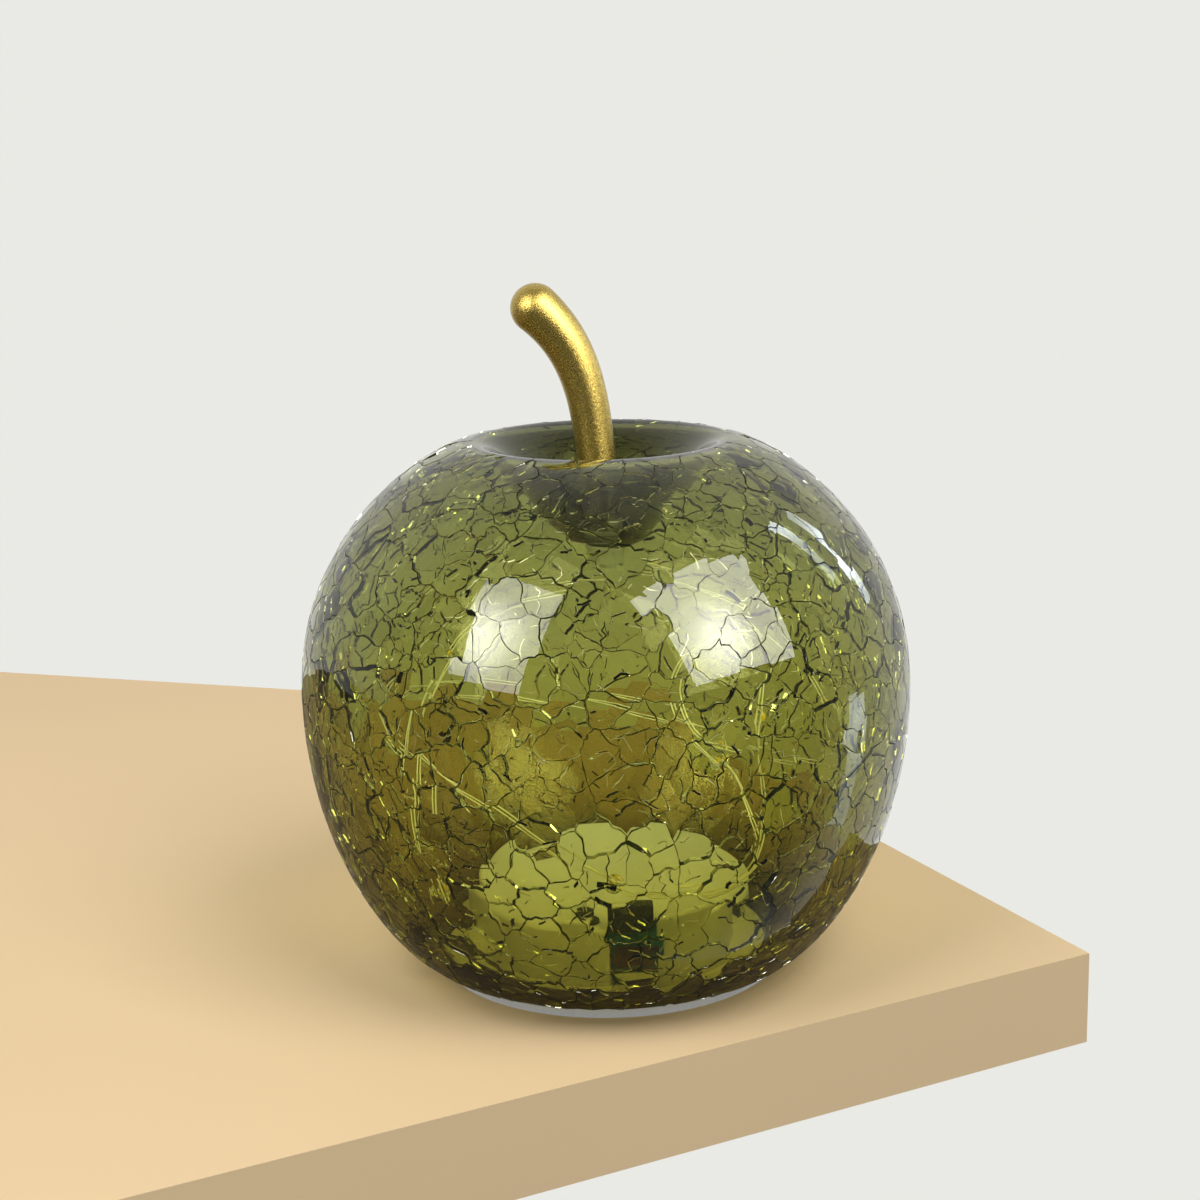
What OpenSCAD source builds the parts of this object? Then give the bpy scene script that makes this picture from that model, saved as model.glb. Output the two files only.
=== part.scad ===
/* [Glass body] */
// Widest outside diameter of the blown glass
glass_d = 150; // [146:1:170]
// Height of the widest ring above the table
belly_z = 71; // [62:1:80]
// Height of the rounded rim round the dimple
rim_z = 131.8; // [126:0.1:150]
// Diameter of the rim along its highest ring
rim_d = 62.6; // [52:0.1:76]
// Thickness of the glass
glass_t = 2.6; // [2:0.1:3.4]
// Width of the ground ring that the glass stands on
foot_land = 4.5; // [3:0.5:7]

/* [Dimple] */
// Depth of the dimple below the rim
dimple_depth = 21.8; // [16:0.1:28]
// Diameter of the dimple's flat floor
dimple_floor_d = 16; // [13:1:22]

/* [Stem] */
// Height of the middle of the stem's head above its foot
stem_rise = 52.4; // [40:0.1:60]
// Sideways reach of the stem's head
stem_reach = 14.8; // [10:0.1:20]
// Sideways bow of the stem's lower half
stem_bow = 1.6; // [0:0.1:2]
// Angle of the head away from upright
stem_head_angle = 48; // [35:1:60]
// Diameter of the stem at its foot
stem_foot_d = 9.4; // [8.4:0.1:11]
// Diameter of the stem's rounded head
stem_head_d = 12; // [10:0.1:14]

/* [Stem fastening] */
// Diameter of the threaded stud, an M4
stud_d = 4; // [3:0.5:4.5]
// Length of the stud
stud_l = 22; // [20:0.5:26]
// Depth that the stud is screwed into the stem
stud_grip = 11.5; // [9:0.5:13]
// Diameter of the gasket on top of the glass
gasket_top_d = 10; // [8:0.5:12]
// Thickness of the gasket on top of the glass
gasket_top_t = 1.2; // [0.8:0.1:2]
// Diameter of the gasket under the glass
gasket_low_d = 8; // [7:0.5:10]
// Thickness of the gasket under the glass
gasket_low_t = 1.5; // [1:0.1:2]
// Diameter of the washer
washer_d = 9; // [8:0.5:11]
// Thickness of the washer
washer_t = 0.8; // [0.5:0.1:1.2]
// Width of the nut across its flats
nut_flats = 7; // [6.5:0.5:8]
// Thickness of the nut
nut_t = 3.2; // [2.4:0.1:4]

/* [Base plate] */
// Thickness of the foam ring that meets the table
ring_t = 1.2; // [0.8:0.1:2]
// Width of the foam ring
ring_w = 4.4; // [3:0.1:5]
// Thickness of the plate's flange, and of the door that lies flush in it
flange_t = 1.5; // [1.4:0.1:2]
// Thickness of the ledge that the door closes against
ledge_t = 1.5; // [1.2:0.1:2.5]
// Distance that the flange stays inside the edge of the ground foot
flange_inset = 1; // [0.5:0.1:2]
// Thickness of the adhesive between the flange and the glass
bond_t = 0.3; // [0.2:0.1:0.6]
// Distance from the housing to the glass mouth
mouth_margin = 6; // [5:0.5:8]

/* [Battery housing] */
// Wall of the housing
housing_t = 1.6; // [1.2:0.1:2]
// Rounding of the housing's top edge
housing_round = 1.2; // [0.8:0.1:1.5]
// Free height above the battery bay, where the leads run
lead_space = 3.2; // [2.6:0.1:5]
// Distance of the four screw bosses from the middle
boss_reach = 29.2; // [29:0.1:29.5]
// Outside diameter of a screw boss
boss_d = 4.8; // [4:0.1:5]
// Diameter of the housing screws
screw_d = 2.2; // [2:0.1:2.4]
// Length of the housing screws
screw_l = 8; // [6:0.5:10]
// Diameter of the countersunk screw heads
screw_head_d = 4.4; // [3.8:0.1:4.6]
// Height of the countersunk screw heads
screw_head_h = 1.2; // [0.9:0.1:1.3]

/* [Batteries] */
// Diameter of one AAA cell
cell_d = 10.5; // [10:0.1:10.8]
// Length of one AAA cell with its nub
cell_l = 44.5; // [43.5:0.1:45]
// Diameter of the nub
nub_d = 3.8; // [3:0.1:5]
// Height of the nub
nub_h = 1; // [0.6:0.1:1.5]
// Gap between neighbouring cells
cell_gap = 0.5; // [0.4:0.1:1]
// Wall of the battery bay
bay_t = 1; // [0.8:0.1:1.2]
// Length of a contact spring between its plate and the cell
spring_l = 5.9; // [5.4:0.1:7]
// Thickness of the spring wire
spring_wire_d = 0.5; // [0.4:0.05:0.6]
// Thickness of the contact plates
plate_t = 0.4; // [0.3:0.1:0.6]

/* [Battery door] */
// Width of the edge on which the door closes
door_lap = 0.4; // [0.4:0.1:0.6]
// Length of the hinge barrel
barrel_l = 36; // [26:1:38]
// Diameter of the hinge trunnions
trunnion_d = 1.6; // [1.2:0.1:1.8]
// Length of a hinge trunnion
trunnion_l = 2.2; // [1.5:0.1:3]
// Distance of the door screw from the bay
door_screw_reach = 4.85; // [4.6:0.05:5.2]
// Sideways place of the door screw
door_screw_x = -5; // [-8:0.5:-4.5]
// Diameter of the door screw
door_screw_d = 2.4; // [2:0.1:2.6]
// Distance that the door screw reaches past the door
door_screw_grip = 2.5; // [2:0.1:2.6]
// Diameter of the door screw's head
door_head_d = 4.6; // [4:0.1:5]
// Thickness of the door screw's head
door_head_h = 0.8; // [0.6:0.1:0.8]

/* [Switch] */
// Width of the slide switch
switch_w = 8.7; // [8.4:0.1:10]
// Depth of the slide switch
switch_deep = 4.4; // [4:0.1:4.8]
// Height of the slide switch
switch_h = 3.5; // [3.2:0.1:5]
// Travel from the middle to either end
switch_travel = 2; // [1.5:0.1:2]
// Width of the knob
knob_w = 2; // [1.6:0.1:2.2]
// Depth of the knob
knob_deep = 1.8; // [1.4:0.1:2]

/* [Timer board] */
// Width of the board
board_w = 12.3; // [11:0.1:14]
// Thickness of the board
board_t = 1; // [0.8:0.1:1.2]
// Sideways place of the board and the switch
board_x = 4.7; // [4.5:0.1:5.5]
// Height of the connector on the board's upper edge
connector_h = 4.6; // [3:0.1:6]
// Depth of the connector
connector_deep = 4; // [3:0.1:4.4]

/* [Fairy lights] */
// Diameter of the pair of wires, taken as one
wire_d = 1.2; // [0.8:0.1:1.3]
// Distance along the wire from its end in the housing to the first light
first_light = 77; // [60:1:77]
// Distance between two lights
light_pitch = 69; // [50:1:69]
// Number of lights
light_count = 10; // [4:1:10]
// Length of a clear droplet
drop_l = 4.6; // [3.6:0.1:6]
// Diameter of a clear droplet
drop_d = 3.2; // [3:0.1:4]
// Length of a light chip
chip_l = 1.6; // [1:0.1:2]
// Width of a light chip
chip_w = 1; // [0.6:0.1:1.2]

/* [Hidden] */
$fn = 96;

// Clearances and the overrun of every cut
over = 0.5;
rest_gap = 0.3;
turn_gap = 0.05;
pocket_gap = 0.05;
slide_gap = 0.2;
hole_gap = 0.6;

// Heights of the stack, from the table up
plate_z = ring_t;
ledge_z = plate_z + flange_t;
deck_z = ledge_z + ledge_t;
foot_z = ledge_z + bond_t;
floor_z = rim_z - dimple_depth;

// Battery bay, from the cells that it holds
cell_count = 3;
cell_pitch = cell_d + cell_gap;
bay_x = cell_l + spring_l + 2 * plate_t;
bay_y = (cell_count - 1) * cell_pitch + cell_d + 2 * rest_gap + cell_gap / 2;
cell_z = ledge_z + rest_gap + cell_d / 2;
bay_roof_z = cell_z + cell_d / 2 + rest_gap;
bay_top_z = bay_roof_z + bay_t;

// Housing, mouth and foot, each round the one before
housing_r = norm([bay_x / 2 + bay_t, bay_y / 2 + bay_t]) + hole_gap + housing_t;
housing_top_z = bay_top_z + lead_space + housing_t;
housing_in_r = housing_r - housing_t;
mouth_r = housing_r + mouth_margin;
plug_r = mouth_r - hole_gap;
foot_r = mouth_r + foot_land;
flange_r = foot_r - flange_inset;
ring_r = flange_r - flange_inset / 2;

// Curve handles of the glass, as shares of the height or width that each curve spans
lower_handle_share = 0.62;
foot_handle_share = 0.26;
upper_handle_share = 0.66;
rim_handle_share = 0.23;
dimple_handle_share = 0.43;
floor_handle_share = 0.26;
curve_steps = 18;
glass_r = glass_d / 2;
rim_r = rim_d / 2;
dimple_floor_r = dimple_floor_d / 2;
floor_hole_r = stud_d / 2 + hole_gap;

// Stem curve, as shares of its rise
stem_foot_share = 0.48;
stem_head_share = 0.34;
stem_swell_power = 2.3;
stem_foot_z = floor_z + gasket_top_t;
stem_steps = 18;
stem_sides = 24;
head_turns = [18, 36, 54, 69, 81];

// Stem fastening, hanging from the underside of the dimple
stud_top_z = stem_foot_z + stud_grip;
nut_top_z = floor_z - glass_t - gasket_low_t - washer_t;

// Hinge and screw of the door
barrel_r = flange_t;
hinge_y = bay_y / 2 + bay_t + rest_gap + barrel_r;
door_x = bay_x / 2 + door_lap;
door_y = bay_y / 2 + door_lap;
door_screw_y = -bay_y / 2 - door_screw_reach;
tongue_r = door_head_d / 2 + 2 * slide_gap + bay_t;
door_boss_h = door_screw_grip + bay_t;

// Board, in a recess in the front of the housing
recess_back_y = -housing_r + board_t + bay_t;
recess_w = board_w + 2 * rest_gap;
timer_share = [0.21, 0.62];
chip_width_share = 0.84;
latch_width_share = 0.35;
latch_h_share = 0.25;
pot_t = board_t + slide_gap;
board_h = housing_top_z + slide_gap - deck_z;

// Switch, behind the board
switch_y = recess_back_y + bay_t + slide_gap + switch_deep / 2;
carriage_w = knob_w + 0.45 * knob_w;
switch_wall_share = 0.17;
switch_floor = switch_wall_share * switch_h;
finger_w = knob_w + 2 * switch_travel + 6 * bay_t;
finger_y = knob_deep + 3 * bay_t;
finger_deep = flange_t - slide_gap;

// Leads go up through this hole in the housing's top
lead_hole_r = 2.4;
lead_hole_y = -26.2;

// Place and size of the grommet
grommet_x = -6;
grommet_r = 1.6;
grommet_lip_r = 2.5;
grommet_lip_t = 0.7;
grommet_wall_gap = 0.42272;
grommet_reach = housing_in_r - grommet_lip_r - grommet_wall_gap;
grommet_y = -sqrt(grommet_reach * grommet_reach - grommet_x * grommet_x);
grommet_bore_r = wire_d / 2 + slide_gap;

// Cell springs
spring_curls = 4;
spring_rings = 8;
spring_r_share = [0.34, 0.23];

// Route of the fairy wire, out of the housing, up in a loop at the front right,
// down and across the front, round the back to the right and round it once more
wire_route = [
    [grommet_x, grommet_y, 17.6], [grommet_x, grommet_y, 20.2], [grommet_x, grommet_y, 22.4],
    [-3, -31, 25.6], [6, -36, 28],
    [19, -40, 31], [29, -42, 34], [34, -42, 41], [33, -40, 48], [28, -34, 58],
    [19, -27, 66], [16, -23, 75], [21, -22, 84], [31, -26, 89], [37, -33, 84],
    [35, -38, 68], [36, -40, 55], [36, -43, 45], [32, -45, 37], [24, -46, 33],
    [12, -47, 32], [0, -46, 36], [-13, -44, 43], [-28, -41, 53], [-40, -35, 59],
    [-51, -18, 64], [-54, 6, 66], [-43, 31, 62], [-18, 48, 54], [14, 50, 46],
    [41, 35, 42], [55, 9, 47], [57, -6, 57], [53, 9, 68], [36, 35, 79],
    [4, 50, 84], [-29, 38, 80], [-46, 10, 62], [-47, -14, 40], [-40, -30, 25]];
wire_sides = 8;

// Battery leads, from the contact tabs over the bay to the connector. The shares say how far along
// the way from tab to hole each point lies, in x and in y
lead_r = 0.55;
lead_colours = ["black", "red"];
lead_way_shares = [[[0.26, 0.1], [0.63, 0.33], [0.93, 0.6], [1, 0.89]],
    [[0.32, 0.22], [0.67, 0.54], [0.92, 0.8], [1, 0.96]]];
lead_run_z = bay_top_z + lead_space / 2;
tab_w = 2.2;
tab_l = 2.6;
tab_height_share = 0.3;
tab_z = cell_z + tab_height_share * cell_d - plate_t;

// Shared functions
function unit(v) = v / norm(v);
function reversed(p) = [for (i = [len(p) - 1:-1:0]) p[i]];
function tail(p) = [for (i = [1:len(p) - 1]) p[i]];
function bezier_at(p, t) = pow(1 - t, 3) * p[0] + 3 * pow(1 - t, 2) * t * p[1]
    + 3 * (1 - t) * t * t * p[2] + pow(t, 3) * p[3];
function bezier(p, n) = [for (i = [0:n]) bezier_at(p, i / n)];

// A curve of equal steps through the points of a route, with one point added between each two
function between(p, i) = let (a = p[max(i - 1, 0)], b = p[i], c = p[i + 1], d = p[min(i + 2, len(p) - 1)])
    (9 * (b + c) - a - d) / 16;
function smoothed(p) = concat([for (i = [0:len(p) - 2]) each [p[i], between(p, i)]], [p[len(p) - 1]]);

// Directions along a path, and sideways normals that are carried along it without twist
function directions(p) = [for (i = [0:len(p) - 1]) unit(p[min(i + 1, len(p) - 1)] - p[max(i - 1, 0)])];
function carried(t, v, i = 0) = i == len(t) ? [] :
    let (w = unit(v - (v * t[i]) * t[i])) concat([w], carried(t, w, i + 1));
function path_length(p, i = 0) = i == len(p) - 1 ? 0 : norm(p[i + 1] - p[i]) + path_length(p, i + 1);
function place_at(p, s, i = 0) = let (d = norm(p[i + 1] - p[i]))
    s <= d || i == len(p) - 2 ? [p[i] + (p[i + 1] - p[i]) * s / d, unit(p[i + 1] - p[i])]
    : place_at(p, s - d, i + 1);
function least_gap(p, d, apart) = min([for (i = [0:len(p) - 1]) for (j = [i + apart:1:len(p) - 1])
    norm(p[i] - p[j]) - d]);

// A closed tube along a path, one radius for each point
module tube(path, radii, sides, side) {
    dirs = directions(path);
    ups = carried(dirs, side);
    last = (len(path) - 1) * sides;
    points = [for (i = [0:len(path) - 1]) for (k = [0:sides - 1])
        let (a = 360 * k / sides) path[i] + radii[i] * (cos(a) * ups[i] + sin(a) * cross(dirs[i], ups[i]))];
    walls = [for (i = [0:len(path) - 2]) for (k = [0:sides - 1])
        let (a = i * sides + k, b = i * sides + (k + 1) % sides)
        each [[a, b + sides, b], [a, a + sides, b + sides]]];
    start = [for (k = [1:sides - 2]) [0, k, k + 1]];
    end = [for (k = [1:sides - 2]) [last, last + k + 1, last + k]];
    polyhedron(concat(points), concat(walls, start, end), convexity = 10);
}

// Turns a shape's upright axis into a given direction, at a given place
module stood(place, direction) {
    translate(place) rotate([0, acos(direction.z), atan2(direction.y, direction.x)]) children();
}

// A flat ring between two radii
module washer_ring(outer_r, inner_r, t) {
    difference() {
        cylinder(r = outer_r, h = t);
        translate([0, 0, -over]) cylinder(r = inner_r, h = t + 2 * over);
    }
}

// Outer line of the glass, from the mouth round the belly and the rim to the hole in the dimple
span_low = belly_z - foot_z;
span_high = rim_z - belly_z;
glass_line = concat(
    [[mouth_r, foot_z]],
    bezier([[foot_r, foot_z], [foot_r + foot_handle_share * (glass_r - foot_r), foot_z],
        [glass_r, belly_z - lower_handle_share * span_low], [glass_r, belly_z]], curve_steps),
    tail(bezier([[glass_r, belly_z], [glass_r, belly_z + upper_handle_share * span_high],
        [rim_r + rim_handle_share * (glass_r - rim_r), rim_z], [rim_r, rim_z]], curve_steps)),
    tail(bezier([[rim_r, rim_z], [rim_r - dimple_handle_share * (rim_r - dimple_floor_r), rim_z],
        [dimple_floor_r + floor_handle_share * (rim_r - dimple_floor_r), floor_z],
        [dimple_floor_r, floor_z]], curve_steps)),
    [[floor_hole_r, floor_z]]);

// The same line moved inwards by the thickness of the glass
function inward(p, t) = let (d = directions(p)) [for (i = [0:len(p) - 1]) p[i] + t * [-d[i].y, d[i].x]];

module glass_shell() {
    color([0.42, 0.47, 0.16, 0.6])
    rotate_extrude() polygon(concat(glass_line, reversed(inward(glass_line, glass_t))));
}

module glass_bond() {
    color("whitesmoke") translate([0, 0, ledge_z])
    washer_ring(flange_r - rest_gap, mouth_r + rest_gap, bond_t);
}

// Stem, swept along one curve, closed by a round head and cut level at its foot
module stem() {
    lean = [-sin(stem_head_angle), 0, cos(stem_head_angle)];
    foot = [0, 0, stem_foot_z - over];
    head = foot + [-stem_reach, 0, stem_rise + over];
    line = bezier([foot, foot + [-stem_bow, 0, stem_foot_share * stem_rise],
        head - stem_head_share * stem_rise * lean, head], stem_steps);
    swell = (stem_head_d - stem_foot_d) / 2;
    thick = [for (i = [0:stem_steps]) stem_foot_d / 2 + swell * pow(i / stem_steps, stem_swell_power)];
    cap = [for (a = head_turns) head + stem_head_d / 2 * sin(a) * lean];
    cap_thick = [for (a = head_turns) stem_head_d / 2 * cos(a)];
    color("goldenrod") difference() {
        tube(concat(line, cap), concat(thick, cap_thick), stem_sides, [1, 0, 0]);
        translate([0, 0, stem_foot_z - stem_foot_d]) cylinder(r = stem_foot_d, h = stem_foot_d);
        translate([0, 0, stem_foot_z - over])
        cylinder(d = stud_d + 2 * turn_gap, h = over + stud_grip + rest_gap);
    }
}

module stem_stud() {
    color("darkgoldenrod") translate([0, 0, stud_top_z - stud_l]) cylinder(d = stud_d, h = stud_l);
}

module stem_gasket_upper() {
    color("gainsboro") translate([0, 0, floor_z])
    washer_ring(gasket_top_d / 2, stud_d / 2 + rest_gap, gasket_top_t);
}

module stem_gasket_lower() {
    color("darkolivegreen") translate([0, 0, floor_z - glass_t - gasket_low_t])
    washer_ring(gasket_low_d / 2, stud_d / 2 + rest_gap, gasket_low_t);
}

module stem_washer() {
    color("silver") translate([0, 0, nut_top_z]) washer_ring(washer_d / 2, stud_d / 2 + slide_gap, washer_t);
}

module stem_nut() {
    color("peru") translate([0, 0, nut_top_z - nut_t]) difference() {
        cylinder(d = nut_flats / cos(30), h = nut_t, $fn = 6);
        translate([0, 0, -over]) cylinder(d = stud_d + 2 * turn_gap, h = nut_t + 2 * over);
    }
}

module foot_ring() {
    color("white") washer_ring(ring_r, ring_r - ring_w, ring_t);
}

// Places its children at the four screw bosses
module at_bosses() {
    for (a = [60, 120, 240, 300]) translate([boss_reach * cos(a), boss_reach * sin(a), 0]) children();
}

// Outline of the door, grown by a gap where it cuts the plate, and by more where its back edge swings
module door_outline(gap, back_gap) {
    translate([-door_x - gap, -door_y - gap])
    square([2 * (door_x + gap), door_y + gap + bay_y / 2 + back_gap]);
    translate([-barrel_l / 2 - gap, 0]) square([barrel_l + 2 * gap, hinge_y]);
    translate([door_screw_x - tongue_r - gap, door_screw_y]) square([2 * (tongue_r + gap), -door_screw_y]);
    translate([door_screw_x, door_screw_y]) circle(r = tongue_r + gap);
}

// Box whose footprint is centred on the axis
module centred_box(x, y, h) {
    translate([-x / 2, -y / 2, 0]) cube([x, y, h]);
}

// Flange, ledge and battery bay in one moulding
module base_plate() {
    color("ghostwhite") difference() {
        union() {
            translate([0, 0, plate_z]) cylinder(r = flange_r, h = flange_t);
            translate([0, 0, ledge_z]) cylinder(r = plug_r, h = ledge_t);
            translate([0, 0, ledge_z]) centred_box(bay_x + 2 * bay_t, bay_y + 2 * bay_t, bay_top_z - ledge_z);
            translate([door_screw_x, door_screw_y, ledge_z])
            cylinder(d = door_screw_d + 2 * turn_gap + 2 * bay_t, h = door_boss_h);
        }
        translate([0, 0, ledge_z - over]) centred_box(bay_x, bay_y, bay_roof_z - ledge_z + over);
        translate([0, 0, plate_z - over]) linear_extrude(flange_t + over) door_outline(rest_gap, hole_gap);
        translate([-barrel_l / 2 - rest_gap, hinge_y - barrel_r - rest_gap, plate_z - over])
        cube([barrel_l + 2 * rest_gap, 2 * (barrel_r + rest_gap), flange_t + ledge_t + 2 * over]);
        for (side = [-1, 1]) translate([side * (barrel_l / 2 + (trunnion_l + rest_gap) / 2), hinge_y, ledge_z])
            rotate([0, 90, 0])
            cylinder(d = trunnion_d + 2 * turn_gap, h = trunnion_l + rest_gap, center = true);
        translate([door_screw_x, door_screw_y, ledge_z - over])
        cylinder(d = door_screw_d + 4 * turn_gap, h = door_boss_h + 2 * over);
        at_bosses() {
            translate([0, 0, plate_z - over]) cylinder(d = screw_d + 2 * slide_gap, h = deck_z);
            translate([0, 0, plate_z]) screw_head_cone(slide_gap);
        }
        translate([board_x, switch_y, plate_z - over]) centred_box(finger_w, finger_y, finger_deep + over);
        translate([board_x, switch_y, plate_z]) centred_box(knob_w + 2 * (switch_travel + rest_gap),
            knob_deep + 2 * rest_gap, flange_t + ledge_t + over);
        for (side = [-1, 1]) translate([side * (bay_x + bay_t) / 2, side * cell_pitch, tab_z - slide_gap])
            centred_box(2 * bay_t, tab_w + 2 * slide_gap, plate_t + 2 * slide_gap);
    }
}

module screw_head_cone(gap) {
    translate([0, 0, -gap])
    cylinder(d1 = screw_head_d + 2 * gap, d2 = screw_d + 2 * gap, h = screw_head_h + gap);
}

// Round housing with a rounded edge, a recess for the board and four bosses for its screws
module housing_cover() {
    h = housing_top_z - deck_z;
    color([0.93, 0.93, 0.88]) difference() {
        union() {
            difference() {
                housing_solid(housing_r, deck_z, h, housing_round);
                translate([0, 0, -over]) housing_solid(housing_in_r, deck_z, h - housing_t + over, bay_t / 2);
            }
            intersection() {
                translate([board_x, recess_back_y, deck_z])
                translate([-recess_w / 2 - bay_t, -housing_r, 0])
                cube([recess_w + 2 * bay_t, housing_r + bay_t, h]);
                housing_solid(housing_r - housing_round, deck_z, h, bay_t / 2);
            }
            at_bosses() translate([0, 0, deck_z]) cylinder(d = boss_d, h = h - housing_t / 2);
        }
        translate([board_x, recess_back_y, deck_z - over]) translate([-recess_w / 2, -housing_r, 0])
        cube([recess_w, housing_r, h + 2 * over]);
        at_bosses() translate([0, 0, deck_z - over]) cylinder(d = screw_d + 2 * turn_gap, h = screw_l + over);
        translate([grommet_x, grommet_y, housing_top_z - housing_t - over])
        cylinder(r = grommet_r + turn_gap, h = housing_t + 2 * over);
        translate([board_x, lead_hole_y, housing_top_z - housing_t - over])
        cylinder(r = lead_hole_r, h = housing_t + 2 * over);
    }
}

// Round solid with a rounded top edge
module housing_solid(r, z, h, round_r) {
    translate([0, 0, z]) rotate_extrude() {
        square([r, h - round_r]);
        square([r - round_r, h]);
        translate([r - round_r, h - round_r]) circle(r = round_r);
    }
}

module housing_screws() {
    color("lightsteelblue") at_bosses() translate([0, 0, plate_z]) difference() {
        union() {
            screw_head_cone(0);
            cylinder(d = screw_d, h = screw_l);
        }
        cross_slot(screw_head_d, screw_head_h);
    }
}

// Cross recess of a screw head
module cross_slot(head_d, head_h) {
    slot_share = [0.16, 0.62, 0.5];
    for (turn = [0, 90]) rotate(turn) translate([0, 0, -over])
        centred_box(slot_share[0] * head_d, slot_share[1] * head_d, over + slot_share[2] * head_h);
}

module battery_door() {
    color("whitesmoke") difference() {
        union() {
            translate([0, 0, plate_z]) linear_extrude(flange_t) door_outline(0, 0);
            translate([0, hinge_y, ledge_z]) rotate([0, 90, 0])
            cylinder(r = barrel_r, h = barrel_l, center = true);
            translate([0, hinge_y, ledge_z]) rotate([0, 90, 0])
            cylinder(d = trunnion_d, h = barrel_l + 2 * trunnion_l, center = true);
        }
        translate([door_screw_x, door_screw_y, plate_z - over])
        cylinder(d = door_screw_d + 4 * turn_gap, h = flange_t + 2 * over);
        translate([door_screw_x, door_screw_y, plate_z - over])
        cylinder(d = door_head_d + 2 * slide_gap, h = over + door_head_h + turn_gap);
    }
}

module door_screw() {
    color("silver") translate([door_screw_x, door_screw_y, plate_z]) difference() {
        union() {
            cylinder(d = door_head_d, h = door_head_h);
            cylinder(d = door_screw_d, h = flange_t + door_screw_grip);
        }
        cross_slot(door_head_d, door_head_h);
    }
}

// Turns a cell's end for end: the outer two point right and the middle one left
function cell_side(i) = i % 2 == 0 ? 1 : -1;
function cell_y(i) = (i - (cell_count - 1) / 2) * cell_pitch;

// Cell frame: the plus end is at the right, against its plate
module at_cell(i) {
    translate([0, cell_y(i), cell_z]) rotate([0, 0, cell_side(i) == 1 ? 0 : 180]) rotate([0, 90, 0]) children();
}

module battery(i) {
    edge = nub_h / 2;
    r = cell_d / 2;
    color(i % 2 == 0 ? "dimgray" : "darkslategray")
    at_cell(i) translate([0, 0, bay_x / 2 - plate_t - cell_l])
    rotate_extrude() polygon([[0, 0], [r - edge, 0], [r, edge], [r, cell_l - nub_h - edge],
        [r - edge, cell_l - nub_h], [nub_d / 2, cell_l - nub_h], [nub_d / 2, cell_l], [0, cell_l]]);
}

// One contact spring, tapering towards the cell, with straight ends
spring_wide = spring_r_share[0] * cell_d;
spring_narrow = spring_r_share[1] * cell_d;
spring_line = concat([[spring_wide, 0, 0]],
    [for (i = [0:spring_curls * spring_rings])
        let (t = i / (spring_curls * spring_rings), r = spring_wide + (spring_narrow - spring_wide) * t,
            a = 360 * spring_curls * t)
        [r * cos(a), r * sin(a), spring_wire_d + (spring_l - 2 * spring_wire_d) * t]],
    [[spring_narrow, 0, spring_l]]);
echo(str("least gap within a spring, mm: ", least_gap(spring_line, spring_wire_d, spring_rings - 2)));

module battery_springs() {
    color("gainsboro") for (i = [0:cell_count - 1])
        at_cell(i) translate([0, 0, -bay_x / 2 + plate_t])
        tube(spring_line, [for (p = spring_line) spring_wire_d / 2], 6, [1, 0, 0]);
}

// Plates at the ends of the bay: one for each end of the row, and two that link neighbours
module contact_plates() {
    h = bay_roof_z - deck_z;
    plate_y = cell_d - cell_gap;
    color("lightgray") for (side = [-1, 1]) {
        translate([side * (bay_x - plate_t) / 2, side * cell_pitch, deck_z - over]) {
            centred_box(plate_t, plate_y, h);
            translate([side * (bay_t + tab_l) / 2, 0, tab_z - deck_z + over])
            centred_box(bay_t + tab_l, tab_w, plate_t);
        }
        translate([side * (bay_x - plate_t) / 2, -side * cell_pitch / 2, deck_z - over])
        centred_box(plate_t, cell_pitch + plate_y, h);
    }
}

// Route of one lead: up from its tab, over the bay, out through the hole and into the connector
function lead_route(i) = let (side = 2 * i - 1, start = [side * (bay_x / 2 + tab_l), side * cell_pitch],
    hole_x = board_x + side * (lead_r + 2 * slide_gap), way = [hole_x, lead_hole_y] - start,
    plug_y = recess_back_y - board_t - pot_t + connector_deep + 2 * turn_gap)
    concat([[start.x, start.y, tab_z + plate_t + 2 * turn_gap], [start.x, start.y, bay_roof_z - slide_gap],
        [start.x - side * housing_t, start.y, lead_run_z - 2 * rest_gap]],
    [for (k = [0:2]) let (share = lead_way_shares[i][k])
        [start.x + share.x * way.x, start.y + share.y * way.y, lead_run_z]],
    [[hole_x, start.y + lead_way_shares[i][3].y * way.y, lead_run_z + lead_space / 4],
        [hole_x, lead_hole_y, housing_top_z],
        [hole_x, (lead_hole_y + plug_y) / 2, deck_z + board_h + connector_h / 2 - slide_gap],
        [hole_x, plug_y, deck_z + board_h + connector_h / 2]]);

module battery_leads() {
    for (i = [0, 1]) let (line = smoothed(lead_route(i)))
        color(lead_colours[i]) tube(line, [for (p = line) lead_r], wire_sides, [1, 0, 0]);
}

module control_board() {
    color([0, 0.3, 0.27]) translate([board_x - board_w / 2, recess_back_y - board_t, deck_z])
    cube([board_w, board_t, board_h]);
}

// Potted timer chip on the front of the board
module timer_block() {
    w = chip_width_share * board_w;
    color([0.12, 0.08, 0.05])
    translate([board_x - w / 2, recess_back_y - board_t - pot_t, deck_z + timer_share[0] * board_h])
    cube([w, pot_t, (timer_share[1] - timer_share[0]) * board_h]);
}

// Connector across the board's upper edge, with a latch at one side
module board_connector() {
    latch_w = latch_width_share * board_w;
    color([0.05, 0.07, 0.07])
    translate([board_x - board_w / 2, recess_back_y - board_t - pot_t, deck_z + board_h]) {
        cube([board_w, connector_deep, connector_h]);
        cube([latch_w, connector_deep / 2, connector_h + latch_h_share * connector_h]);
    }
}

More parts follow.
